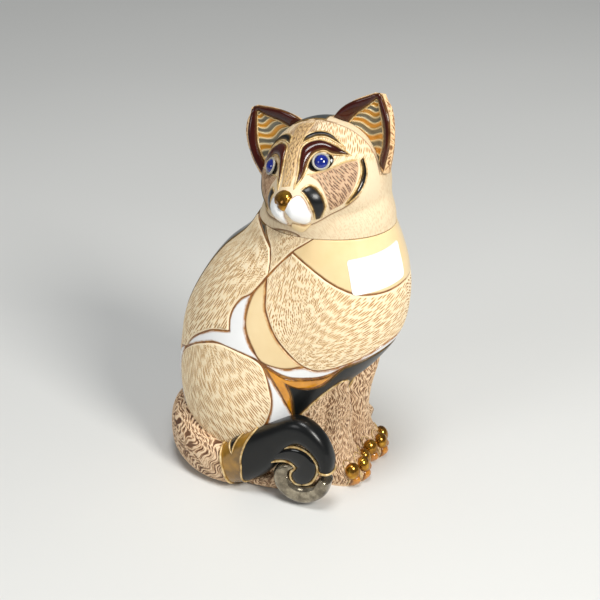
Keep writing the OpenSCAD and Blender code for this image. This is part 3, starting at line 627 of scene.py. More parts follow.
def tint(code):
    """Linear colour from a six-figure screen colour, or from a colour that is linear already."""
    if not isinstance(code, str):
        return (*code, 1.0)
    c = np.array([int(code[i:i + 2], 16) for i in (0, 2, 4)]) / 255
    return tuple(np.where(c <= 0.04045, c / 12.92, ((c + 0.055) / 1.055)**2.4)) + (1.0,)


class Finish:
    """Node-building helper for one material."""

    def __init__(self, name):
        self.made = bpy.data.materials.new(name)
        self.made.use_nodes = True
        self.tree = self.made.node_tree
        self.shader = next(n for n in self.tree.nodes if n.type == "BSDF_PRINCIPLED")
        self.coords = self.node("ShaderNodeTexCoord").outputs["Object"]

    def node(self, kind, **values):
        """A node with its properties set and its sockets fed."""
        made = self.tree.nodes.new(kind)
        for key, value in values.items():
            if hasattr(made, key) and key not in made.inputs:
                setattr(made, key, value)
            else:
                self.feed(made.inputs[key], value)
        return made

    def feed(self, socket, value):
        """Link a socket to another, or set its constant."""
        if isinstance(value, bpy.types.NodeSocket):
            self.tree.links.new(value, socket)
        else:
            socket.default_value = value

    def set(self, **values):
        """Feed the shader's sockets by name, with spaces written as underscores."""
        for key, value in values.items():
            self.feed(self.shader.inputs[key.replace("_", " ")], value)
        return self

    def noise(self, scale, detail=3.0, rough=0.55):
        """Noise from 0 to 1 in the object's own coordinates."""
        made = self.node("ShaderNodeTexNoise", Scale=scale, Detail=detail, Roughness=rough)
        self.feed(made.inputs["Vector"], self.coords)
        return made.outputs["Fac"]

    def mark(self, name):
        """The value that the mesh carries at each point under that name."""
        return self.node("ShaderNodeAttribute", attribute_name=name).outputs["Fac"]

    def ramp(self, value, *stops):
        """Colours, or greys, at places from 0 to 1, blended between."""
        made = self.node("ShaderNodeValToRGB")
        self.feed(made.inputs["Fac"], value)
        band = made.color_ramp
        while len(band.elements) < len(stops):
            band.elements.new(0.5)
        for element, (place, code) in zip(band.elements, stops):
            element.position = place
            element.color = (code, code, code, 1) if isinstance(code, float) else tint(code)
        return made.outputs["Color"]

    def mix(self, share, a, b, blend="MIX"):
        """Two colours blended by a share."""
        made = self.node("ShaderNodeMix", data_type="RGBA", blend_type=blend)
        self.feed(made.inputs[0], share)
        for socket, value in ((made.inputs[6], a), (made.inputs[7], b)):
            self.feed(socket, value if isinstance(value, bpy.types.NodeSocket) else tint(value))
        return made.outputs[2]

    def maths(self, kind, a, b=0.0, c=0.0):
        """One operation on up to three values."""
        made = self.node("ShaderNodeMath", operation=kind)
        for socket, value in zip(made.inputs, (a, b, c)):
            self.feed(socket, value)
        return made.outputs[0]

    def bump(self, value, strength, distance):
        """Roughen the shader's normal with a height value."""
        made = self.node("ShaderNodeBump", Strength=strength, Distance=distance)
        self.feed(made.inputs["Height"], value)
        self.feed(self.shader.inputs["Normal"], made.outputs["Normal"])
        return self


def fur_finish(name, ridge, skin, groove, blotch, rough=0.62):
    """Carved strokes: darker in the grooves, pale on the ridges as a painted highlight, with blotches.
    """
    f = Finish(name)
    depth = f.maths("ADD", f.mark("groove"), f.maths("MULTIPLY_ADD", f.noise(900, 4), 0.4, -0.2))
    # The ridge colour, on the uncarved skin between the strokes, is a painted highlight; the grooves
    # take the darker colour.
    base = f.ramp(depth, (0.02, ridge), (0.22, skin), (0.62, groove))
    soft = f.ramp(f.noise(70, 3), (0.35, 0.0), (0.75, 1.0))
    base = f.mix(f.maths("MULTIPLY", soft, 0.25), base, blotch)
    base = f.mix(f.mark("tone"), base, f.mix(depth, "96704e", "4a2c18"))
    base = f.mix(f.mark("pale"), base, f.mix(depth, "e6d2b0", "c8a274"))
    base = f.mix(f.mark("bib"), base, "f3d9a6")
    base = f.mix(f.mark("nape"), base, "2c3030")
    base = f.mix(f.mark("line"), base, "7a4a18")
    f.set(Base_Color=base, Roughness=rough, Coat_Weight=0.08, Coat_Roughness=0.35)
    return f.bump(f.noise(1500, 4), 0.35, 0.0002).made


def enamel_finish(name, colour, shade, rough=0.2, coat=0.6, coat_rough=0.06, line="8a5418",
                  flecks=60, gloss=0.5):
    """Fired enamel: a slow drift of colour, a stained edge, and a faint ripple under a clear coat."""
    f = Finish(name)
    drift = f.ramp(f.noise(flecks, 3), (0.3, 0.0), (0.75, 1.0))
    base = f.mix(drift, colour, shade)
    base = f.mix(f.maths("MULTIPLY", f.mark("edge"), f.ramp(f.noise(350, 2), (0.25, 0.35), (0.6, 1.0))),
                 base, line)
    f.set(Base_Color=base, Roughness=rough, Coat_Weight=coat, Coat_Roughness=coat_rough,
          Specular_IOR_Level=gloss)
    return f.bump(f.noise(160, 2), 0.12, 0.0004).made


def lustre_finish(name, bright, worn, dark, rough=0.22, wear=0.5, scale=120):
    """Thin metal fired over glaze: bright on top, worn and stained in patches."""
    f = Finish(name)
    patch = f.noise(scale, 5, 0.65)
    base = f.ramp(patch, (0.3, dark), (0.5, worn), (0.68, bright))
    rough_map = f.maths("MULTIPLY_ADD", patch, -0.3, rough + 0.2)
    f.set(Base_Color=base, Metallic=wear, Roughness=rough_map, Coat_Weight=0.4, Coat_Roughness=0.1)
    return f.bump(f.noise(400, 3), 0.15, 0.0002).made


FINISHES = {}


def finish(name):
    """The finish of that name, made on first use."""
    if name not in FINISHES:
        FINISHES[name] = MAKERS[name](name)
    return FINISHES[name]


def clay_line(name):
    """Bare clay between the cells, brown to gold by a fine noise."""
    f = Finish(name)
    base = f.ramp(f.noise(260, 4), (0.3, "6a3c10"), (0.5, "96602a"), (0.72, "c08a3c"))
    f.set(Base_Color=base, Roughness=0.5, Coat_Weight=0.25, Coat_Roughness=0.25)
    return f.bump(f.noise(900, 3), 0.4, 0.0002).made


def cloison(name):
    """The raised line round a cell: tan to cream by a fine noise."""
    f = Finish(name)
    base = f.ramp(f.noise(420, 4), (0.3, "8a6428"), (0.5, "cfae72"), (0.72, "ecd9ac"))
    f.set(Base_Color=base, Roughness=0.38, Metallic=0.15, Coat_Weight=0.3, Coat_Roughness=0.2)
    return f.bump(f.noise(800, 3), 0.3, 0.0002).made


def ear_stripes(name):
    """Gold and grey stripes by the stripe mark, with pale ridges between."""
    f = Finish(name)
    lane = f.mark("stripe")
    base = f.ramp(lane, (0.0, "c98a1e"), (0.42, "a86c12"), (0.5, "5c4a2c"), (0.58, "8f8a76"),
                  (1.0, "6d6857"))
    base = f.mix(f.mark("ridge"), base, "ecd9a8")
    f.set(Base_Color=base, Roughness=0.24, Metallic=0.35, Coat_Weight=0.6, Coat_Roughness=0.08)
    return f.bump(f.noise(300, 3), 0.2, 0.0002).made


def eye_glaze(name):
    """Deep blue under a clear coat."""
    f = Finish(name)
    base = f.ramp(f.noise(500, 3), (0.3, "06135c"), (0.7, colours().eye_blue))
    f.set(Base_Color=base, Roughness=0.08, Coat_Weight=1.0, Coat_Roughness=0.02)
    return f.bump(f.noise(200, 2), 0.05, 0.0002).made


def label_stock(name):
    """Matt white paper."""
    f = Finish(name)
    base = f.ramp(f.noise(30, 2), (0.3, "f0f0ef"), (0.7, "fafafa"))
    f.set(Base_Color=base, Roughness=0.55)
    return f.bump(f.noise(2500, 4), 0.15, 0.00005).made


def floor_paint(name):
    """Pale matt floor with a faint cloudiness."""
    f = Finish(name)
    base = f.ramp(f.noise(3, 2), (0.3, "dcdddb"), (0.7, "e0e1df"))
    f.set(Base_Color=base, Roughness=0.6)
    return f.made


MAKERS = {
    "clay_line": clay_line,
    "cloison": cloison,
    "ear_stripes": ear_stripes,
    "eye_glaze": eye_glaze,
    "label_stock": label_stock,
    "floor_paint": floor_paint,
    # The first colour of each fur finish is its ridge colour, a painted highlight on the uncarved skin.
    "cream_fur": lambda n: fur_finish(n, colours().cream_fur, "f0d09c", "a87440", "f2d2a0"),
    "brown_fur": lambda n: fur_finish(n, colours().brown_fur, "cfa880", "5a341a", "bc926a"),
    "brow_fur": lambda n: fur_finish(n, "d8b682", "ac8858", "42260f", "9c7848"),
    "ear_fur": lambda n: fur_finish(n, "f4d0a0", "daae7c", "74461f", "c89864"),
    "cheek_fur": lambda n: fur_finish(n, "cfac88", "a07a5c", "452616", "90694c"),
    "eye_ring": lambda n: enamel_finish(n, "b9b5a8", "8f8b80", 0.3, 0.3, 0.1, "6a6458"),
    "tail_gold": lambda n: enamel_finish(n, "a87a1c", "5e4410", 0.16, 0.8, 0.06, "3a240a", 160),
    "cream_enamel": lambda n: enamel_finish(n, colours().cream_enamel, "eccd95",
                                            0.3, 0.35, 0.15, "a8743a"),
    "white_enamel": lambda n: enamel_finish(n, "f8f9fa", "f2f3f3", 0.14, 0.7, 0.05, "a8743a"),
    "black_enamel": lambda n: enamel_finish(n, colours().black, "121414", 0.3, 0.12, 0.12, "6a5024",
                                            gloss=0.3),
    "gloss_black": lambda n: enamel_finish(n, "030404", "070808", 0.12, 0.3, 0.04, "6a5024",
                                           gloss=0.4),
    "mustard_enamel": lambda n: enamel_finish(n, colours().mustard, "c27c0a",
                                              0.16, 0.9, 0.05, "4a2c08", 200),
    "red_brown_enamel": lambda n: enamel_finish(n, colours().red_brown, "2a0904", 0.14, 0.15, 0.05,
                                                "6a4a24", gloss=0.35),
    "grey_enamel": lambda n: enamel_finish(n, "3a4040", "2a2f30", 0.3, 0.4, 0.15, "8a6a30"),
    "gold_lustre": lambda n: lustre_finish(n, "d9a83a", "a87418", "5c3a0a", 0.12, 0.85, 260),
    "claw_gold": lambda n: enamel_finish(n, "d08a28", "a8660e", 0.2, 0.9, 0.06, "6a3c0a", 200),
    "platinum_lustre": lambda n: lustre_finish(n, "b8ad96", "7c7260", "2e2820", 0.14, 0.8, 150),
}


# ---- Carving patterns ----

def fan(at_angle, at_z, pitch, length, seed, radius=40, reach=60.0, sway=0.35, wave=0.6):
    """Strokes that spread like a fan from a centre given in the torso's own coordinates."""
    def carve(angle, z):
        x = np.radians(np.abs(angle) - at_angle) * radius
        y = z - at_z
        p = np.stack([x, y], -1)
        bend = wave * wander(p, 12.0, seed)
        away = np.hypot(x, y) + 0.6 * bend
        turn = np.arctan2(x, -y) * reach + bend
        return strokes(away, turn, pitch, length, seed, sway)
    return carve


def brow_carve(lon, lat):
    """Strokes that run straight up the forehead."""
    x, y = lon * 0.42, lat * 0.45
    bend = 0.6 * wander(np.stack([x, y], -1), 3.5, 13)
    return strokes(y + bend, x + bend, 0.7, 3.2, 23, 0.6)


def face_carve(lon, lat):
    """Strokes that run up and back from the nose over the face."""
    x, y = np.abs(lon) * 0.42, (lat + 12) * 0.45
    p = np.stack([x, y], -1)
    bend = 0.9 * wander(p, 4.0, 11)
    turn = np.arctan2(x, np.maximum(y + 26, 3)) * 42 + bend
    return strokes(np.hypot(x, y + 26) + bend, turn, 0.75, 5.0, 21, 0.4)


def cheek_carve(lon, lat):
    """Strokes that slant down and back over the cheek."""
    x, y = np.abs(lon) * 0.44, lat * 0.45
    p = np.stack([x, y], -1)
    bend = 0.7 * wander(p, 3.5, 12)
    turn = x * 0.8 + y * 0.6 + bend
    return strokes(-x * 0.6 + y * 0.8, turn, 0.85, 4.6, 22, 0.4)


# ---- Building the pieces ----

def show_castings():
    """The torso casting stays as it is; its clay shows as stained lines between the cells."""
    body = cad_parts["torso"]
    body.data.materials.clear()
    body.data.materials.append(finish("clay_line"))


BIB_LOW = [(-96, 114), (-74, 108), (-54, 102), (-39, 98.5), (-23, 97.5), (0, 98), (23, 97.5),
           (39, 98.5), (54, 102), (74, 108), (96, 114)]
WEDGE_LINE = [(96, 114), (104, 109), (110.5, 102)]
CRESCENT_IN = [(110.5, 101), (107, 94), (103, 87), (91, 77), (76, 69), (64, 64)]
CRESCENT_OUT = [(111, 101.5), (116.5, 93), (114, 80), (102, 68), (93, 63), (77, 61.6), (64, 63.8)]


def chest_cells(rise, pitch):
    """Bib, chest panel and two crescents: cells between edges given as angle and height."""
    shell = Shell()
    cell(shell, torso_point, [[(-95.5, 114.4), (-78, 120.9)],
                              [(-78, 120.9), (-40, 120.95), (0, 120.95), (40, 120.95), (78, 120.9)],
                              [(78, 120.9), (95.5, 114.4)]], [BIB_LOW], rise, pitch=0.6, flush="a")
    shell.make("bib", finish("cream_enamel"), "cream_enamel", "bib")
    shell = Shell()
    low = CRESCENT_IN + [(53, 62), (39, 64), (28, 67), (14, 71.5), (0, 72.5)]
    low = [(-a, z) for a, z in low] + low[-2::-1]
    cell(shell, torso_point, [[(-a, z) for a, z in WEDGE_LINE[::-1]], BIB_LOW, WEDGE_LINE], [low],
         rise, pitch=pitch, carve=fan(112, 50, 0.8, 5.5, 31, reach=52), depth=0.24,
         marks_b=(0, 0.085, 0.915, 1))
    shell.make("chest_panel", finish("cream_fur"), "carved_cream_fur", "chest_panel")
    for side, name in ((1, "right"), (-1, "left")):
        shell = Shell()
        cell(shell, torso_point, mirrored([CRESCENT_IN], side), mirrored([CRESCENT_OUT], side),
             rise, pitch=0.6)
        shell.make(name + "_crescent", finish("cream_enamel"), "cream_enamel", name + "_crescent")


SHOULDER_FRONT = [(117, 93.8), (122.7, 90.3), (125, 85.6), (124.8, 81.2), (123.4, 77.8), (122, 75.2)]
SHOULDER_LOW = [(122, 75.2), (133.2, 72.6), (143.7, 65.7), (150, 57.8)]
HAUNCH_TOP = [(96, 64), (113.7, 66.8), (126.4, 68.1), (137, 65), (150, 57.6)]
LEG_LINE = ([(67.8, 36), (62, 39)], [(62, 39), (51, 45.5), (37, 52.5)],
            [(37, 52.5), (31, 54), (25, 52), (17, 46), (8, 38), (0, 33)])


def elbow_carve(angle, z):
    """Rough strokes that rise and spread over the elbow, as on the legs beside it."""
    return shaggy((0.25, 0.1, 1.0), 0.95, 3.6, 93, 1.7, 4.5)(torso_skin(angle, z))


def side_cells(rise, pitch):
    """The cells of both flanks: the same edges with the angle times side, and fans of strokes."""
    for side, name in ((1, "right"), (-1, "left")):
        def both(*arcs):
            return mirrored(arcs, side)
        shell = Shell()
        cell(shell, torso_point, both(SHOULDER_FRONT, SHOULDER_LOW),
             both([(117, 93.8), (116.5, 87), (112.6, 78.2), (108, 72.8), (102.4, 67.8), (96, 64)],
                  HAUNCH_TOP),
             rise, pitch=0.5)
        shell.make(name + "_flank_inlay", finish("white_enamel"), "white_enamel",
                   name + "_flank_inlay")
        shell = Shell()
        cell(shell, torso_point,
             both([(165.5, 119.6), (167, 112), (167, 104), (167.5, 90), (166.5, 74), (162, 60),
                   (157, 55)]),
             both([(165.5, 119.6), (150, 119.8), (138, 118.8), (128, 116.7), (118, 113.5)],
                  [(118, 113.5), (113, 108), (110.5, 103)],
                  [(110.5, 103), (117, 94)] + SHOULDER_FRONT[1:], SHOULDER_LOW),
             rise, pitch=pitch, carve=fan(112, 170, 0.85, 7.5, 41, reach=82), depth=0.32)
        shell.make(name + "_shoulder_panel", finish("cream_fur"), "carved_cream_fur",
                   name + "_shoulder_panel")
        shell = Shell()
        cell(shell, torso_point,
             both([(153.5, 44), (152, 54), (146, 60), (137, 65), (126, 68), (114, 67), (97, 63.3),
                   (89, 57), (84.5, 48), (84, 44)]),
             both([(153.5, 44), (152.5, 34), (147, 24), (138, 17.5), (128, 17), (116, 20), (104, 24),
                   (90, 32), (85, 39), (84, 44)]),
             rise + 0.1, pitch=pitch, crown=0.5, carve=fan(158, 92, 0.85, 7.5, 51, reach=55),
             depth=0.2)
        shell.make(name + "_haunch_panel", finish("cream_fur"), "carved_cream_fur",
                   name + "_haunch_panel")
        shell = Shell()
        cell(shell, torso_point, both([(92.5, 61.5), (79, 51), (67, 37.5)]),
             both([(91.5, 60), (85, 50), (84, 42), (87.5, 32.5)]), rise, pitch=0.5)
        shell.make(name + "_haunch_inlay", finish("white_enamel"), "white_enamel",
                   name + "_haunch_inlay")
        shell = Shell()
        cell(shell, torso_point, both([(150, 58.5), (158, 53), (162, 42), (160, 30), (150, 20),
                                       (139, 15)]),
             both([(150, 58.5), (153, 52), (154.5, 42), (153, 33), (147.5, 23), (139, 15)]),
             rise, pitch=0.5, inset=0.25)
        shell.make(name + "_haunch_rim", finish("white_enamel"), "white_enamel",
                   name + "_haunch_rim")
        shell = Shell()
        cell(shell, torso_point, both([(67.5, 36.5), (79, 50.5), (92.5, 62)],
                                      [(92.5, 62), (76, 57.6), (57, 57.6), (46, 59), (37, 63.4)]),
             both([(67.5, 36.5), (69, 48), (73, 54)], [(73, 54), (62, 52.3), (48, 54.3), (37, 63.2)]),
             rise, pitch=0.5)
        shell.make(name + "_gold_gusset", finish("mustard_enamel"), "mustard_enamel",
                   name + "_gold_gusset")
        shell = Shell()
        cell(shell, torso_point, both([(68, 36.5), (69.5, 47.5), (73, 53.7)],
                                      [(73, 53.7), (62, 52), (48, 54), (37, 63)],
                                      [(37, 63), (20, 66), (0, 69)]),
             both(*LEG_LINE), rise, pitch=0.6, flush="e", marks_b=(0, 0.33, 0.62, 1))
        shell.make(name + "_black_gusset", finish("black_enamel"), "black_enamel",
                   name + "_black_gusset")
        shell = Shell()
        line = [p for arc in LEG_LINE for p in arc[:-1]] + [LEG_LINE[-1][-1]]
        cell(shell, torso_point, both(line), both([(a, 0.8) for a, _ in line]), 0.75, pitch=pitch,
             flush="e", carve=elbow_carve, depth=0.4)
        shell.make(name + "_elbow_fur", finish("brown_fur"), "carved_brown_fur")
        lines = Shell()
        bead(lines, torso_point, both(line), 0.42, rise=0.6)
        lines.make(name + "_leg_line", finish("cloison"), "carved_cream_fur")
        shell = Shell()
        cell(shell, torso_point, both([(133, 120.9), (110, 120.95), (79, 120.9)]),
             both([(133, 120.5), (125, 117), (118, 113.5), (113, 108), (110.5, 102.8)],
                  [(110.5, 102.8), (104, 109), (95.5, 114.6), (79, 120.6)]),
             rise, pitch=pitch, flush="a", carve=fan(100, 160, 0.8, 4.5, 61, reach=90), depth=0.28)
        shell.make(name + "_neck_wedge", finish("cream_fur"), "carved_cream_fur",
                   name + "_neck_wedge")


def belly_and_spine(rise):
    """Band across the belly, stripe with two shoulders on the spine, and fur round the rump."""
    shell = Shell()
    top = [(-93, 63), (-76, 61.8), (-64, 63.6), (-53, 62), (-39, 63.8), (-28, 66.8), (-14, 71.3),
           (0, 72.2)]
    low = [(-93, 62.6), (-75, 58), (-57, 58), (-46, 59.5), (-37, 63.3)]
    mid = [(-37, 63.3), (-20, 66.4), (0, 69.2), (20, 66.4), (37, 63.3)]
    cell(shell, torso_point, [top + [(-a, z) for a, z in top[-2::-1]]],
         [low, mid, [(-a, z) for a, z in low[::-1]]], rise, pitch=0.5)
    shell.make("belly_band", finish("white_enamel"), "white_enamel", "belly_band")
    shell = Shell()
    for turn in (1, -1):
        arcs = [[(118, 113.8), (126, 117.4), (133, 120.8)], [(133, 120.8), (150, 120.85)]]
        low = [[(118, 113.8), (128, 117), (138, 119.2), (150, 120.7)]]
        if turn < 0:
            arcs, low = ([[(360 - a, z) for a, z in arc] for arc in side] for side in (arcs, low))
        cell(shell, torso_point, arcs, low, rise, inset=0.1, pitch=0.5, marks_b=(0, 0.6, 1))
    edge = [(167, 120.8), (168, 104), (168.5, 90), (169, 72), (170, 56), (175, 42), (180, 34)]
    cell(shell, torso_point, [edge], [[(360 - a, z) for a, z in edge]], rise, pitch=0.6, flush="s")
    shell.make("spine_stripe", finish("grey_enamel"), "black_enamel", "spine_stripe")
    shell = Shell()
    half = [(62, 30), (74, 30), (87, 31), (104, 23), (116, 19), (128, 16), (139, 14), (150, 19),
            (160.5, 29), (164, 42), (161, 53), (168, 60), (171, 50), (180, 32)]
    edge = half + [(360 - a, z) for a, z in half[-2::-1]]
    cell(shell, torso_point, [edge], [[(a, 0.6) for a, _ in edge]], 0.3, pitch=0.56,
         carve=fan(180, 190, 0.9, 3.8, 71, reach=90, wave=2.2), depth=0.3)
    shell.make("rump_fur", finish("brown_fur"), "carved_brown_fur")


FACE_ARC = [(-50, 58), (-25, 66), (5, 66), (34, 62), (61, 51), (77, 36), (84, 20), (86, 2)]
CHEEK_LINE = [(58, -17), (46, -27), (34, -32.5), (22, -37), (12, -38.5), (5, -36)]
JAW_LINE = [(-100, -24), (-83, -30), (-48, -36), (-13, -46), (0, -54), (13, -60), (30, -62)]


def collar_rim(turn):
    """The torso's collar seen from the head's middle: heading of each point and its distance."""
    flat = torso_skin(turn, np.full(turn.shape, float(COLLAR))) - HEAD_AT
    return np.arctan2(flat[:, 1], flat[:, 0]), np.hypot(flat[:, 0], flat[:, 1])


def head_skin():
    """The head and neck as one skin: rays from the head's middle, from the collar to the crown."""
    heading, rim = collar_rim(np.linspace(0, 360, 430, endpoint=False))
    lowest = -np.arctan2(HEAD_RISE - LIFT, rim + 0.45)
    v = np.linspace(0, 1, 228)
    lift = lowest + (np.pi / 2 - lowest) * v[:, None]
    d = np.stack([np.cos(lift) * np.cos(heading), np.cos(lift) * np.sin(heading), np.sin(lift)], -1)
    local = d @ FACE
    lon = np.degrees(np.arctan2(local[..., 0], -local[..., 1]))
    lat = np.degrees(np.arcsin(np.clip(local[..., 2], -1, 1)))
    bearing = np.abs(np.degrees(np.arctan2(-d[..., 0], -d[..., 1])))
    skin = head_along(local)
    gap = np.full(lon.shape, 3.0)
    for arc in (FACE_ARC, [(-b, c) for b, c in FACE_ARC], JAW_LINE, CHEEK_LINE,
                [(-b, c) for b, c in CHEEK_LINE]):
        along = on_curve(arc, np.linspace(0, len(arc) - 1, 120))
        gap = np.minimum(gap, near(skin, head_point(*along.T)))
    line = np.exp(-(gap / 0.38)**2)
    bound = np.interp(np.abs(lon), [0, 34, 61, 77, 84, 86], [67, 62, 51, 36, 20, 2])
    inside = smooth(bound - lat, -1.5, 1.5) * smooth(87 - np.abs(lon), 0, 3)
    fur = inside * smooth(lat + 0.3 * np.maximum(45 - np.abs(lon), 0), 8, 22)
    side = inside * smooth(lat, -30, -10) * (1 - fur)
    jaw = np.interp(lon, [-180, -100, -83, -48, -13, 0, 13, 30],
                    [-12, -24, -30, -36, -46, -54, -60, -66])
    above = smooth(lat - jaw, -1, 1)
    bib = (1 - above) * smooth(80 - bearing, -3, 3)
    nape = (1 - above) * smooth(bearing - 133, -2, 2) * smooth(skin[..., 2], 128, 126)
    centre = smooth(9 + 0.22 * np.maximum(lat, 0) - np.abs(lon), -4, 4) * smooth(lat, -12, -4)
    tone = fur * (0.12 + centre * 0.5 * (1 - smooth(lat, 52, 66)))
    carve = fur * face_carve(lon, lat)
    carve = np.maximum(carve, (1 - fur) * (1 - side) * above * 0.5 * cheek_carve(lon * 1.1, lat * 1.1))
    carve = np.maximum(carve, (1 - above) * (1 - bib) * (1 - nape) * cheek_carve(lon, lat))
    carve = carve * (1 - line)
    height = 0.25 - 0.2 * carve - 0.6 * line + 0.1 * bib
    foot = smooth(v, 0.0, 0.008)[:, None]
    upper = head_along(local, height * foot + 0.45 * (1 - foot))
    pale = (1 - fur) * above * 0.9
    shell = Shell()
    shell.grid(upper, around=True, groove=carve, line=line, tone=tone, pale=pale, bib=bib, nape=nape)
    shell.grid(np.stack([upper[0], np.broadcast_to(upper[0].mean(0), upper[0].shape)]),
               around=True, flip=True)
    shell.make("head_skin", finish("cream_fur"), "carved_cream_fur", "head")


def face_cells(rise, pitch):
    """The face's cells, each between edges given as longitude and latitude."""
    shell = Shell()
    left = [(-4.5, -6), (-6, 10), (-7, 25), (-9, 38), (-13, 50), (-18, 60)]
    cell(shell, head_point, [left], [[(-a, b) for a, b in left]], 0.42, inset=0.1, pitch=pitch,
         carve=brow_carve, depth=0.3)
    shell.make("forehead_panel", finish("brow_fur"), "carved_brown_fur", "forehead_panel")
    shell = Shell()
    cell(shell, crown_point, [[(-20, 67), (-14, 90), (-9, 130), (-8, 172)]],
         [[(16, 67), (13, 90), (9, 130), (8, 172)]], rise, pitch=0.5)
    shell.make("crown_stripe", finish("grey_enamel"), "black_enamel", "crown_stripe")
    for side, name in ((1, "left"), (-1, "right")):
        def both(*arcs):
            return mirrored(arcs, side)
        lines = Shell()
        brow = both([(6.5, 31), (10, 41), (24, 45.5), (39, 41), (51, 25)])
        brow_low = both([(6.5, 31), (13, 35), (23, 38.5), (35, 36.5), (51, 25)])
        shell = Shell()
        cell(shell, head_point, brow, brow_low, rise - 0.1, inset=0.2, pitch=0.4, crown=0.7)
        shell.make(name + "_brow", finish("black_enamel"), "black_enamel", name + "_brow")
        mask = both([(6.5, -8), (7.5, 5), (7.5, 19), (9, 29), (17, 34.5), (28, 35), (42, 28.5),
                     (56, 18)])
        mask_low = both([(6.5, -8), (12.5, 3), (16, 16), (22, 22.5), (30, 24), (38, 20.5), (56, 18)])
        shell = Shell()
        cell(shell, head_point, mask, mask_low, rise - 0.1, inset=0.25, pitch=0.35, crown=1.0)
        shell.make(name + "_eye_mask", finish("red_brown_enamel"), "red_brown_enamel",
                   name + "_eye_mask")
        cheek = both([(14, 2.5), (34, 8), (48, 13), (61, 14.5)])
        cheek_low = both([(14, 2.5), (24, -5), (29, -15), (32.5, -29)],
                         [(32.5, -29), (45, -23), (55, -9), (60.5, 5), (61, 14.5)])
        shell = Shell()
        cell(shell, head_point, cheek, cheek_low, 0.55, inset=0.3, pitch=pitch, carve=cheek_carve,
             depth=0.36, marks_b=(0, 1))
        shell.make(name + "_cheek_panel", finish("cheek_fur"), "carved_brown_fur",
                   name + "_cheek_panel")
        fang = both([(67.5, 18), (68, 3), (61, -12), (46, -25)])
        fang_in = both([(62.5, 14), (62, 3), (56, -9.5), (46, -23.5)])
        shell = Shell()
        cell(shell, head_point, fang, fang_in, rise - 0.1, inset=0.15, pitch=0.35, crown=0.7)
        shell.make(name + "_cheek_crescent", finish("gloss_black"), "black_enamel",
                   name + "_cheek_crescent")
        whisker = both([(11, -8.5), (18, -5.5), (25, -11), (29, -22), (24, -34.5)])
        whisker_in = both([(11, -9.5), (14, -12), (17.6, -19), (19, -27), (18, -34.5)])
        shell = Shell()
        cell(shell, head_point, whisker, whisker_in, rise - 0.1, inset=0.2, pitch=0.4, crown=0.6)
        shell.make(name + "_whisker_band", finish("black_enamel"), "black_enamel",
                   name + "_whisker_band")
        for arcs in (brow, brow_low, mask, mask_low, cheek, fang, fang_in, whisker, whisker_in):
            bead(lines, head_point, arcs, 0.42, rise=0.25)
        lines.make(name + "_face_lines", finish("cloison"), "carved_cream_fur")
        shell = Shell()
        cell(shell, head_point, both([(0.1, -16), (5, -12.8), (10.5, -11), (15.5, -16), (18.4, -27)]),
             both([(0.1, -23), (3, -31), (9, -36), (15, -34.5), (18.4, -27)]),
             rise, inset=0.15, pitch=0.4, crown=1.5, roll=1.6)
        shell.make(name + "_muzzle_pad", finish("white_enamel"), "white_enamel",
                   name + "_muzzle_pad")


def nose_and_chin(rise):
    """Two pillowed cells; the nose has two dents, each a bell of the distance from its middle."""
    shell = Shell()

    def nostrils(lon, lat):
        return sum(np.exp(-((lon - s * 4.2) / 1.6)**2 - ((lat + 15.6) / 1.5)**2) for s in (-1, 1))

    cell(shell, head_point, [[(-9.5, -12.5), (-7, -9), (-1.5, -7), (4, -8.5), (7, -12)]],
         [[(-9.5, -13), (-6, -17.5), (-0.5, -21), (4, -17.8), (7, -12.5)]],
         rise + 0.2, inset=0.1, pitch=0.3, crown=1.6, roll=1.6, carve=nostrils, depth=0.8)
    shell.make("nose", finish("gold_lustre"), "gold_lustre", "nose")
    shell = Shell()
    cell(shell, head_point, [[(-17, -35), (-8, -36.5), (0, -31.5), (8, -36.5), (17, -35)]],
         [[(-17, -35), (-10, -42), (0, -46), (10, -42), (17, -35)]],
         rise, inset=0.1, pitch=0.4, crown=0.8, roll=1.5)
    shell.make("chin_pad", finish("cream_enamel"), "cream_enamel", "chin_pad")


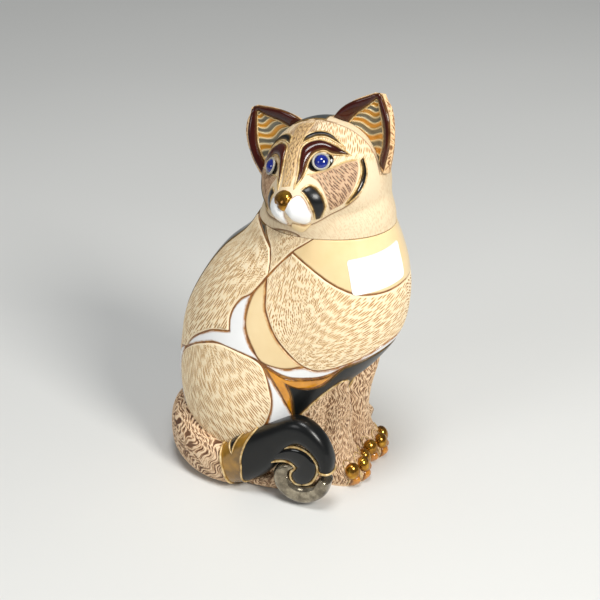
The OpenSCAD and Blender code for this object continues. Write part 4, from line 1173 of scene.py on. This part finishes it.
def eyes():
    """Each eye: a ball's cap turned about its own axis, a round ring, and a slanted oval socket."""
    for side, name in ((1, "left"), (-1, "right")):
        lon, lat = (EYE_AT[0] - EYE_SHIFT) * side - EYE_SHIFT, EYE_AT[1] - EYE_DROP
        seat, above = head_point(lon, lat, LIFT), head_point(lon, lat, 10.0)
        d = unit(above - seat)
        x = unit(np.cross([0.3, 0.1, 1.0], d))
        y = np.cross(d, x)
        bulge = np.hypot(EYE_R, EYE_SINK)
        a = TAU * np.arange(64) / 64

        def turned(radius, height):
            """A round profile carried about the eye's own axis."""
            ring = np.cos(a)[:, None] * x + np.sin(a)[:, None] * y
            return seat + radius[:, None, None] * ring[None] + height[:, None, None] * d
        shell = Shell()
        r = EYE_R * np.sin(np.linspace(0, np.pi / 2, 22))[::-1]
        r[-1] = 0
        h = np.sqrt(bulge**2 - r**2) - EYE_SINK + EYE_SEAT
        shell.grid(turned(np.r_[0, r], np.r_[h[0], h]), around=True)
        shell.make(name + "_eye", finish("eye_glaze"), "blue_enamel", name + "_eye")
        shell = Shell()
        b = np.linspace(0, TAU, 15)
        shell.grid(turned(EYE_R + RING_GAP + RING_R * np.cos(b),
                          EYE_SEAT + RING_GAP + RING_R * np.sin(b)), around=True)
        shell.make(name + "_eye_ring", finish("eye_ring"), "platinum_lustre")
        shell = Shell()
        t = np.linspace(0, TAU, 121)[:-1]
        spot = np.stack([SOCKET_SIZE[0] * np.cos(t), SOCKET_SIZE[1] * np.sin(t)], -1)
        tip = np.array([abs(lon), lat - 0.5])
        share = np.r_[0.0, np.linspace(0.18, 1, 16), 1.0]
        slope = np.radians(SOCKET_SLOPE)
        sx = tip[0] + (spot[:, 0] * np.cos(slope) - spot[:, 1] * np.sin(slope)) * 1.45
        sy = tip[1] + (spot[:, 0] * np.sin(slope) + spot[:, 1] * np.cos(slope)) * 1.75
        lons = side * (tip[0] + (sx - tip[0])[None] * share[:, None])
        lats = tip[1] + (sy - tip[1])[None] * share[:, None]
        up = 1.25 - 0.8 * smooth(share, 0.45, 0.97)
        up[-1] = BURIED
        edge = smooth(share, 0.9, 1.0)[:, None] + 0 * lons
        pts = head_point(lons, lats, up[:, None] + 0 * lons)
        pts[0] = pts[0].mean(0)
        shell.grid(pts, around=True, flip=side > 0, groove=0.0, edge=edge)
        shell.make(name + "_eye_socket", finish("gloss_black"), "black_enamel")


def ears(rise):
    """Each ear: a hollow front, a swollen back and two bowed edges, a rim cell and a ridged lining."""
    for side, name in ((1, "left"), (-1, "right")):
        s = np.linspace(0, 1, 120)
        u = 0.5 - 0.5 * np.cos(np.pi * np.linspace(0, 1, 130))
        uu, ss = np.meshgrid(u, s)
        carve = shaggy((0.1, 0.1, 1), 0.85, 3.4, 81, 1.2, 4)(ear_back(side, uu, ss))
        carve = carve * smooth(uu, 0, 0.004) * smooth(1 - uu, 0, 0.004)
        back = ear_back(side, uu, ss, 0.1 - 0.3 * carve)
        front = ear_point(side, uu, ss)
        k = np.linspace(0, 1, 12)[1:-1]
        bow = np.sin(np.pi * k) * (smooth(s, 0, 0.1) * smooth(1 - s, 0, 0.2))[:, None]
        edges, dents = [], []
        for end, swell in ((-1, 1.4), (0, 0.3)):
            out = FACE @ np.array([side if end else -side, 0, 0.0])
            flat = front[:, end, None] + (back[:, end] - front[:, end])[:, None] * k[None, :, None]
            dent = shaggy((0.1, 0.1, 1), 0.85, 3.4, 82, 1.2, 4)(flat) * np.minimum(1, 2 * bow)
            edges.append(flat + (swell * bow - 0.3 * dent)[..., None] * out)
            dents.append(dent)
        wall = np.concatenate([front, edges[0], back[:, ::-1], edges[1][:, ::-1]], 1)
        groove = np.concatenate([np.zeros_like(uu), dents[0], carve[:, ::-1], dents[1][:, ::-1]], 1)
        shell = Shell()
        shell.grid(wall, around=True, flip=side > 0, groove=groove)
        last = wall[-1].mean(0)
        cap = np.stack([wall[-1], np.broadcast_to(last, wall[-1].shape)])
        shell.grid(cap, around=True, flip=side > 0, groove=0.0)
        heart = wall[0].mean(0)
        seat = np.stack([HEAD_AT + off_head(((heart + (wall[0] - heart) * k) - HEAD_AT) @ FACE,
                                            JOINT_GAP) @ FACE.T for k in (0, 0.35, 0.7, 1.0)])
        seat[0] = seat[0].mean(0)
        seat[-1] = wall[0]
        shell.grid(seat, around=True, flip=side > 0, groove=0.0)
        shell.make(name + "_ear", finish("ear_fur"), "carved_brown_fur", name + "_ear")

        def ear_skin(across, up, off=0.0, side=side):
            return ear_point(side, across, up, off)
        outer = [[(0.0, 0.04), (-0.01, 0.5), (0.05, 0.97)], [(0.05, 0.97), (0.5, 1.01), (0.95, 0.97)],
                 [(0.95, 0.97), (1.01, 0.5), (1.0, 0.02)]]
        inner = [[(0.2, 0.04), (0.24, 0.42), (0.4, 0.8)], [(0.4, 0.8), (0.48, 0.86), (0.58, 0.81)],
                 [(0.58, 0.81), (0.82, 0.42), (0.87, 0.02)]]
        shell = Shell()
        cell(shell, ear_skin, outer, inner, rise, inset=0.05, pitch=0.35, roll=1.2, crown=1.5)
        shell.make(name + "_ear_rim", finish("red_brown_enamel"), "red_brown_enamel",
                   name + "_ear_rim")
        lines = Shell()
        bead(lines, ear_skin, inner, 0.34, rise=0.4)
        lines.make(name + "_ear_lines", finish("cloison"), "striped_enamel")
        v = np.linspace(0, 1, 110)
        w = np.linspace(0, 1, 60)
        ww, vv = np.meshgrid(w, v)
        up = vv * 0.86
        left = np.interp(up, (0, 0.42, 0.86), (0.19, 0.23, 0.44))
        right = np.interp(up, (0, 0.42, 0.86), (0.89, 0.83, 0.55))
        across = left + (right - left) * ww
        lane = (up - 0.42 * (across - 0.6) + 0.03 * np.sin(across * 14)) * 10.5
        off_line = np.abs(lane - np.round(lane))
        ridge = np.exp(-(off_line / 0.13)**2)
        stripe = 0.5 - 0.5 * np.cos(np.pi * (np.floor(lane) % 2))
        pts = ear_skin(across, up, 0.12 + 0.4 * ridge)
        shell = Shell()
        shell.grid(pts, flip=side > 0, stripe=stripe, ridge=ridge)
        low = ear_skin(across, up, -0.2)
        for k in (0, -1):
            low[k], low[:, k] = pts[k], pts[:, k]
        shell.grid(low, flip=side < 0)
        shell.make(name + "_ear_lining", finish("ear_stripes"), "striped_enamel",
                   name + "_ear_lining")


def limb_shell(rows, first, last, n, m, side=1, carve=None, depth=0.0, off=0.0):
    """A limb's skin between two slanted ends, closed with caps drawn in to the middle, with carving
    taken off.
    """
    a = np.linspace(0, 360, m, endpoint=False)[None]
    t = np.linspace(0, 1, n)[:, None]
    begin = first(a) if callable(first) else first + 0 * a
    end = last(a) if callable(last) else last + 0 * a
    s = begin + (end - begin) * t
    angle = a + 0 * s
    bare = limb_point(rows, s, angle)
    groove = np.zeros_like(s)
    if carve is not None:
        groove = carve(bare)
    pts = limb_point(rows, s, angle, off - depth * groove)
    pts[..., 2] = np.where(bare[..., 2] <= 0, 0.0, pts[..., 2])
    pts = pts * [side, 1, 1]
    shell = Shell()
    shell.grid(pts, around=True, flip=side < 0, groove=groove)
    for k, turn in ((0, True), (-1, False)):
        centre = np.broadcast_to(pts[k].mean(0), pts[k].shape)
        cap = np.stack([pts[k] + (centre - pts[k]) * q for q in (0, 0.5, 1)])
        shell.grid(cap, around=True, flip=(side < 0) ^ turn, groove=0.0)
    return shell


def shaggy(way, pitch, length, seed, bend=1.6, scale=5.0):
    """Strokes along a direction in space, bent by a gentle wander, for a casting's rough fur."""
    way = unit(np.asarray(way, float))
    side = unit(np.cross(way, [0.35, 0.2, 1.0] if abs(way[2]) < 0.8 else [1.0, 0.3, 0.1]))

    def carve(p):
        sway = bend * wander(p, scale, seed)
        along = p @ way + sway
        third = np.cross(way, side)
        across = p @ side + 0.6 * (p @ third) + sway + 1.2 * wander(p, scale * 0.5, seed + 1)
        return np.maximum(strokes(along, across, pitch, length, seed, 0.7),
                          0.6 * strokes(along * 1.3 + 4, across * 1.7, pitch, length, seed + 2, 0.7))
    return carve


def forelegs():
    """Each leg's skin from foot to top with carving taken off, then its toes, claws and lines."""
    fur = shaggy((0.25, 0.1, 1.0), 0.95, 3.6, 91, 1.7, 4.5)
    for side, name in ((1, "right"), (-1, "left")):
        a = np.linspace(0, 360, 300, endpoint=False)
        z = np.r_[0, np.linspace(0.3, 53.8, 210)]
        aa, zz = np.meshgrid(a, z)
        bare = leg_point(side, aa, zz)
        groove = fur(bare) * smooth(zz, 0.3, 1.5)
        pts = leg_point(side, aa, zz, -0.42 * groove + 0.1)
        shell = Shell()
        shell.grid(pts, around=True, groove=groove)
        for k, flip in ((0, True), (-1, False)):
            cap = np.stack([pts[k], np.broadcast_to(pts[k].mean(0), pts[k].shape)])
            shell.grid(cap, around=True, flip=flip, groove=0.0)
        shell.make(name + "_foreleg", finish("brown_fur"), "carved_brown_fur", name + "_foreleg")
        balls, claws, lines = Shell(), Shell(), Shell()
        for share in (-0.7, 0.02, 0.66):
            angle = np.degrees(np.arcsin(-share)) * 0.82
            toe_ball(balls, side, angle)

            def skin(u, v, off=0.0, side=side, angle=angle):
                return leg_point(side, angle + u, v, off)
            cell(claws, skin, [[(-15, 0.4), (-14, 3.5), (-10, 6)]], [[(15, 0.4), (14, 3.5), (10, 6)]],
                 0.75, inset=0.2, pitch=0.4, crown=0.5, roll=1.4)
            bead(lines, skin, [[(-16.5, 0.6), (-16, 5), (-15, 8.5), (-9, 11.4), (0, 12.4),
                                (9, 11.4), (15, 8.5), (16, 5), (16.5, 0.6)]], 0.26, rise=0.3)
        balls.make(name + "_toe_balls", finish("gold_lustre"), "gold_lustre", name + "_toe_caps")
        claws.make(name + "_claws", finish("claw_gold"), "gold_lustre")
        lines.make(name + "_toe_lines", finish("cloison"), "carved_brown_fur")


def toe_ball(shell, side, angle, z=7.6, size=(3.5, 2.9, 3.9)):
    """An egg set into the front of the foot, wider than it is proud."""
    at = leg_point(side, np.array(angle), np.array(z), 0.0)
    out = unit(leg_point(side, np.array(angle), np.array(z), 1.0) - at)
    out = unit(out + [0, 0, 0.25])
    across = unit(np.cross([0, 0, 1.0], out))
    up = np.cross(out, across)
    b, a = np.meshgrid(np.linspace(-np.pi / 2, np.pi / 2, 25), TAU * np.arange(36) / 36,
                       indexing="ij")
    p = (at + size[0] * (np.cos(b) * np.cos(a))[..., None] * across
         + size[2] * (np.cos(b) * np.sin(a))[..., None] * up
         + size[1] * np.sin(b)[..., None] * out)
    shell.grid(p, around=True)


def hind_paws():
    """Each paw is a limb skin with rough fur; on the left it lies free of the tail."""
    fur = shaggy((0.1, 1, 0.15), 0.95, 3.6, 101, 1.7, 4.0)
    for side, name, rows in ((1, "right", HIND_ROWS), (-1, "left", FREE_HIND_ROWS)):
        shell = limb_shell(rows, 0.02, 5, 150, 110, side, fur, 0.4, 0.1)
        shell.make(name + "_hind_paw", finish("brown_fur"), "carved_brown_fur",
                   name + "_hind_paw")


def band_edge(a):
    """Station where the gold band ends: slanted by the sine, with a soft lower limit."""
    return LEAST_BAND + 0.3 * np.log1p(
        np.exp((BAND_END + BAND_SLANT * np.sin(np.radians(a)) - LEAST_BAND) / 0.3))


def ring_bead(shell, rows, station, radius, off=0.25, side=1):
    """A bead round a limb at a station that may slant."""
    a = np.linspace(0, 360, 160, endpoint=False)
    line = limb_point(rows, station(a), a, off)
    inner = limb_point(rows, station(a), a, off - 1.5)
    cord_line(shell, line * [side, 1, 1], unit(line - inner) * [side, 1, 1], radius, closed=True)


def tail():
    """Root, band and arch are one limb cut at stations, with a notch and raised lines."""
    fur = shaggy((0.8, 0.6, 0.35), 1.0, 4.0, 111, 1.8, 5.0)
    shell = limb_shell(TAIL_ROWS, 0.02, FUR_END, 300, 200, 1, fur, 0.42, 0.1)
    shell.make("tail_root", finish("brown_fur"), "carved_brown_fur", "tail_root")
    shell = limb_shell(TAIL_ROWS, FUR_END - 0.02, lambda a: band_edge(a) + 0.02, 60, 120)
    shell.make("tail_band", finish("tail_gold"), "mustard_enamel", "tail_band")
    shell = limb_shell(TAIL_ROWS, lambda a: band_edge(a), 12, 150, 96, off=0.05)
    shell.make("tail_arch", finish("black_enamel"), "black_enamel", "tail_arch")
    notch = Shell()

    def tail_skin(station, angle, off=0.0):
        return limb_point(TAIL_ROWS, station, angle, off)
    cell(notch, tail_skin, [[(6.45, 92), (6.48, 31)]], [[(7.1, 92), (6.48, 30)]], 0.4, inset=0.02,
         pitch=0.4)
    notch.make("tail_notch", finish("gloss_black"), "black_enamel")
    lines = Shell()
    bead(lines, tail_skin, [[(6.41, 95), (6.46, 28)], [(7.13, 95), (6.46, 28)]], 0.35, rise=0.3)
    ring_bead(lines, TAIL_ROWS, lambda a: FUR_END + 0 * a, 0.5)
    ring_bead(lines, TAIL_ROWS, band_edge, 0.45)
    ring_bead(lines, TAIL_ROWS, lambda a: 11.9 + 0 * a, 0.5)
    lines.make("tail_lines", finish("cloison"), "mustard_enamel")


def curl_face(y, z, off=0.0):
    """Upright plane inside the curl, facing the cat's right."""
    y, z, off = np.broadcast_arrays(np.asarray(y, float), np.asarray(z, float), off)
    return np.stack([COMMA_FACE - off, y, z], -1)


def curl():
    """The hook is a limb skin, and the comma is a domed cell on an upright plane."""
    shell = limb_shell(HOOK_ROWS, 0, 6, 160, 84)
    shell.make("tail_tip", finish("platinum_lustre"), "platinum_lustre", "tail_tip")
    shell = Shell()
    cell(shell, curl_face, [COMMA_TOP], [COMMA_LOW], 1.2, inset=0.0, pitch=0.4, crown=1.7, roll=2.2)
    shell.make("curl_inlay", finish("gloss_black"), "black_enamel", "curl_inlay")
    lines = Shell()
    bead(lines, curl_face, [COMMA_TOP, COMMA_LOW], 0.55, rise=1.2, pitch=0.4)
    lines.make("curl_lines", finish("cloison"), "platinum_lustre")


LABEL_AT, LABEL_TILT, LABEL_R, LABEL_FLARE = (24, 107), 1.2, 37, 4
LABEL_SIZE = (28, 15)


def label(rise):
    """A blank paper label with rounded corners, laid on the bib."""
    corner = 1.5
    x = np.linspace(-1, 1, 57)
    inset = np.maximum(0, np.abs(x) * LABEL_SIZE[0] / 2 - (LABEL_SIZE[0] / 2 - corner))
    tall = LABEL_SIZE[1] / 2 - corner + np.sqrt(np.maximum(corner**2 - inset**2, 0))
    y = tall[:, None] * np.linspace(-1, 1, 31) / (LABEL_SIZE[1] / 2)
    half = np.degrees(LABEL_SIZE[0] / 2 / (LABEL_R - LABEL_FLARE * y))
    across = LABEL_AT[0] + y + x[:, None] * half
    up = LABEL_AT[1] - x[:, None] * LABEL_TILT + y * LABEL_SIZE[1] / 2
    top = torso_point(across, up, np.full(across.shape, rise + 0.22))
    low = torso_point(across, up, np.full(across.shape, rise - 0.02))
    shell = Shell()
    hi = shell.grid(top)
    lo = shell.grid(low, flip=True)
    for upper, lower in ((hi[0], lo[0]), (hi[-1][::-1], lo[-1][::-1]), (hi[:, 0][::-1], lo[:, 0][::-1]),
                         (hi[:, -1], lo[:, -1])):
        shell.faces.append(np.stack([upper[:-1], lower[:-1], lower[1:], upper[1:]], -1)[:, ::-1])
    shell.make("paper_label", finish("label_stock"), "label_paper", "paper_label")


# ---- Stage ----

CAMERA_TURN, CAMERA_RISE, CAMERA_REACH = -66, 27, 0.7
CAMERA_AIM = np.array([0, 4, 78]) * MM


def lamp(name, at, aim, size, power, colour=(1, 1, 1)):
    """A disk lamp that faces its aim."""
    light = bpy.data.lights.new(name, "AREA")
    light.shape, light.size, light.energy, light.color = "DISK", size, power, colour
    holder = bpy.data.objects.new(name, light)
    holder.location = at
    holder.rotation_euler = (Vector(aim) - Vector(at)).to_track_quat("-Z", "Y").to_euler()
    bpy.context.scene.collection.objects.link(holder)


def stage():
    """Camera at its angle and reach, round floor, and three disk lamps set about the view."""
    a, e = np.radians(CAMERA_TURN), np.radians(CAMERA_RISE)
    back = np.array([np.sin(a) * np.cos(e), -np.cos(a) * np.cos(e), np.sin(e)])
    camera = bpy.data.cameras.new("camera")
    camera.lens, camera.sensor_width = 96, 36
    camera.clip_start, camera.clip_end = 0.01, 50
    holder = bpy.data.objects.new("camera", camera)
    holder.location = CAMERA_AIM + back * CAMERA_REACH
    holder.rotation_mode = "QUATERNION"
    holder.rotation_quaternion = Vector(-back).to_track_quat("-Z", "Y")
    bpy.context.scene.collection.objects.link(holder)
    bpy.context.scene.camera = holder

    mesh = bpy.data.meshes.new("floor")
    r = np.array([0, 0.15, 0.3, 0.6, 1.2, 2.5, 5.0])
    t = TAU * np.arange(64) / 64
    p = np.stack([r[:, None] * np.cos(t), r[:, None] * np.sin(t), 0 * r[:, None] + 0 * t], -1)
    mesh.from_pydata(p.reshape(-1, 3), [], grid_faces(len(r), len(t), True)[:, ::-1])
    mesh.update()
    floor = bpy.data.objects.new("floor", mesh)
    mesh.materials.append(finish("floor_paint"))
    bpy.context.scene.collection.objects.link(floor)

    world = bpy.data.worlds.new("studio")
    bpy.context.scene.world = world
    world.use_nodes = True
    world.node_tree.nodes["Background"].inputs["Color"].default_value = (0.86, 0.88, 0.9, 1)
    world.node_tree.nodes["Background"].inputs["Strength"].default_value = 0.2
    side = np.array([np.cos(a), np.sin(a), 0])
    front = np.array([np.sin(a), -np.cos(a), 0])
    up = np.array([0, 0, 1.0])
    lamp("key", 0.75 * front + 0.6 * side + 0.8 * up, (0, 0, 0.08), 0.4, 11.5, (1, 0.975, 0.93))
    lamp("fill", 0.8 * front - 0.9 * side + 0.7 * up, (0, 0, 0.08), 0.5, 2.5)
    lamp("top", 0.3 * front + 1.3 * up, (0, 0, 0.08), 0.45, 8)
    bpy.context.scene.view_settings.view_transform = "Standard"


# ---- Add-on ----

class CatSizes(bpy.types.PropertyGroup):
    """Sizes that a user would change."""
    rise: bpy.props.FloatProperty(name="Enamel rise", description="Height of an enamel cell",
                                  default=0.0005, min=0.0002, max=0.001, precision=5,
                                  subtype="DISTANCE", unit="LENGTH")
    pitch: bpy.props.FloatProperty(name="Carving pitch", default=0.00038, min=0.00025, max=0.001,
                                   description="Spacing of the points of a carved cell",
                                   precision=5, subtype="DISTANCE", unit="LENGTH")


def paint(name, description, code):
    """A colour setting that starts as a six-figure screen colour."""
    return bpy.props.FloatVectorProperty(name=name, description=description, size=3, min=0, max=1,
                                         subtype="COLOR", default=tint(code)[:3])


class CatColours(bpy.types.PropertyGroup):
    """Colours that a user would change."""
    # The two fur colours are ridge colours: a painted highlight on the carved fur.
    cream_fur: paint("Cream fur", "Ridges of the carved cream fur", "fdebc8")
    brown_fur: paint("Brown fur", "Ridges of the carved brown fur", "f2d6b2")
    cream_enamel: paint("Cream enamel", "Bib, crescents and chin", "f5dcab")
    black: paint("Black enamel", "Brows, gussets and tail", "0b0c0d")
    mustard: paint("Mustard enamel", "Gussets under the belly band", "e69a14")
    red_brown: paint("Red-brown enamel", "Eye masks and ear rims", "481208")
    eye_blue: paint("Blue enamel", "Eyes", "0e2a98")


def millimetres(name):
    """A size setting in mm, rounded to a nanometre."""
    return round(getattr(bpy.context.scene.cat_sizes, name) / MM, 6)


def colours():
    """The colour settings."""
    return bpy.context.scene.cat_colours


def built(work, *names):
    """Do one job with the sizes it asks for. An exception stops the operator with its message."""
    work(*map(millimetres, names))
    return {"FINISHED"}


class CAT_OT_stage(bpy.types.Operator):
    """Set the camera, the floor and the soft lights."""
    bl_idname = "cat.stage"
    bl_label = "Stage"

    def execute(self, context):
        return built(stage)


class CAT_OT_castings(bpy.types.Operator):
    """Stain the torso casting that shows between the cells."""
    bl_idname = "cat.castings"
    bl_label = "Castings"

    def execute(self, context):
        return built(show_castings)


class CAT_OT_chest(bpy.types.Operator):
    """Build the bib, the chest panel and the crescents."""
    bl_idname = "cat.chest"
    bl_label = "Chest cells"

    def execute(self, context):
        return built(chest_cells, "rise", "pitch")


class CAT_OT_sides(bpy.types.Operator):
    """Build the shoulder and haunch panels and the inlays round them."""
    bl_idname = "cat.sides"
    bl_label = "Side cells"

    def execute(self, context):
        return built(side_cells, "rise", "pitch")


class CAT_OT_belly(bpy.types.Operator):
    """Build the belly band, the spine stripe and the rump fur."""
    bl_idname = "cat.belly"
    bl_label = "Belly and spine"

    def execute(self, context):
        return built(belly_and_spine, "rise")


class CAT_OT_head(bpy.types.Operator):
    """Build the skin of the head and neck."""
    bl_idname = "cat.head"
    bl_label = "Head"

    def execute(self, context):
        return built(head_skin)


class CAT_OT_face(bpy.types.Operator):
    """Build the brows, masks, cheeks, whisker bands and muzzle pads."""
    bl_idname = "cat.face"
    bl_label = "Face cells"

    def execute(self, context):
        return built(face_cells, "rise", "pitch")


class CAT_OT_nose(bpy.types.Operator):
    """Build the nose and the chin pad."""
    bl_idname = "cat.nose"
    bl_label = "Nose and chin"

    def execute(self, context):
        return built(nose_and_chin, "rise")


class CAT_OT_eyes(bpy.types.Operator):
    """Build the eyes with their rings and sockets."""
    bl_idname = "cat.eyes"
    bl_label = "Eyes"

    def execute(self, context):
        return built(eyes)


class CAT_OT_ears(bpy.types.Operator):
    """Build the ears with their rims and striped linings."""
    bl_idname = "cat.ears"
    bl_label = "Ears"

    def execute(self, context):
        return built(ears, "rise")


class CAT_OT_forelegs(bpy.types.Operator):
    """Build the forelegs with their toes and claws."""
    bl_idname = "cat.forelegs"
    bl_label = "Forelegs"

    def execute(self, context):
        return built(forelegs)


class CAT_OT_hind_paws(bpy.types.Operator):
    """Build the two hind paws."""
    bl_idname = "cat.hind_paws"
    bl_label = "Hind paws"

    def execute(self, context):
        return built(hind_paws)


class CAT_OT_tail(bpy.types.Operator):
    """Build the tail's root, band and arch."""
    bl_idname = "cat.tail"
    bl_label = "Tail"

    def execute(self, context):
        return built(tail)


class CAT_OT_curl(bpy.types.Operator):
    """Build the hook at the tail's end and its comma inlay."""
    bl_idname = "cat.curl"
    bl_label = "Curl"

    def execute(self, context):
        return built(curl)


class CAT_OT_label(bpy.types.Operator):
    """Build the blank paper label."""
    bl_idname = "cat.label"
    bl_label = "Label"

    def execute(self, context):
        return built(label, "rise")


OPERATORS = (CAT_OT_stage, CAT_OT_castings, CAT_OT_chest, CAT_OT_sides, CAT_OT_belly, CAT_OT_head,
             CAT_OT_face, CAT_OT_nose, CAT_OT_eyes, CAT_OT_ears, CAT_OT_forelegs, CAT_OT_hind_paws,
             CAT_OT_tail, CAT_OT_curl, CAT_OT_label)


class CAT_PT_panel(bpy.types.Panel):
    """Settings and buttons that build the cat."""
    bl_idname = "CAT_PT_panel"
    bl_label = "Ceramic cat"
    bl_space_type = "VIEW_3D"
    bl_region_type = "UI"
    bl_category = "Cat"

    def draw(self, context):
        for group in (context.scene.cat_sizes, context.scene.cat_colours):
            for name in type(group).__annotations__:
                self.layout.prop(group, name)
        for made in OPERATORS:
            self.layout.operator(made.bl_idname)


CLASSES = (CatSizes, CatColours, *OPERATORS, CAT_PT_panel)


def register():
    """Add the classes and the two groups of settings."""
    for made in CLASSES:
        bpy.utils.register_class(made)
    bpy.types.Scene.cat_sizes = bpy.props.PointerProperty(type=CatSizes)
    bpy.types.Scene.cat_colours = bpy.props.PointerProperty(type=CatColours)


def unregister():
    """Take away what register added."""
    del bpy.types.Scene.cat_colours
    del bpy.types.Scene.cat_sizes
    for made in reversed(CLASSES):
        bpy.utils.unregister_class(made)


def main():
    """Make every piece in order."""
    register()
    for made in OPERATORS:
        getattr(bpy.ops.cat, made.bl_idname.split(".")[1])()


if __name__ == "__main__":
    main()
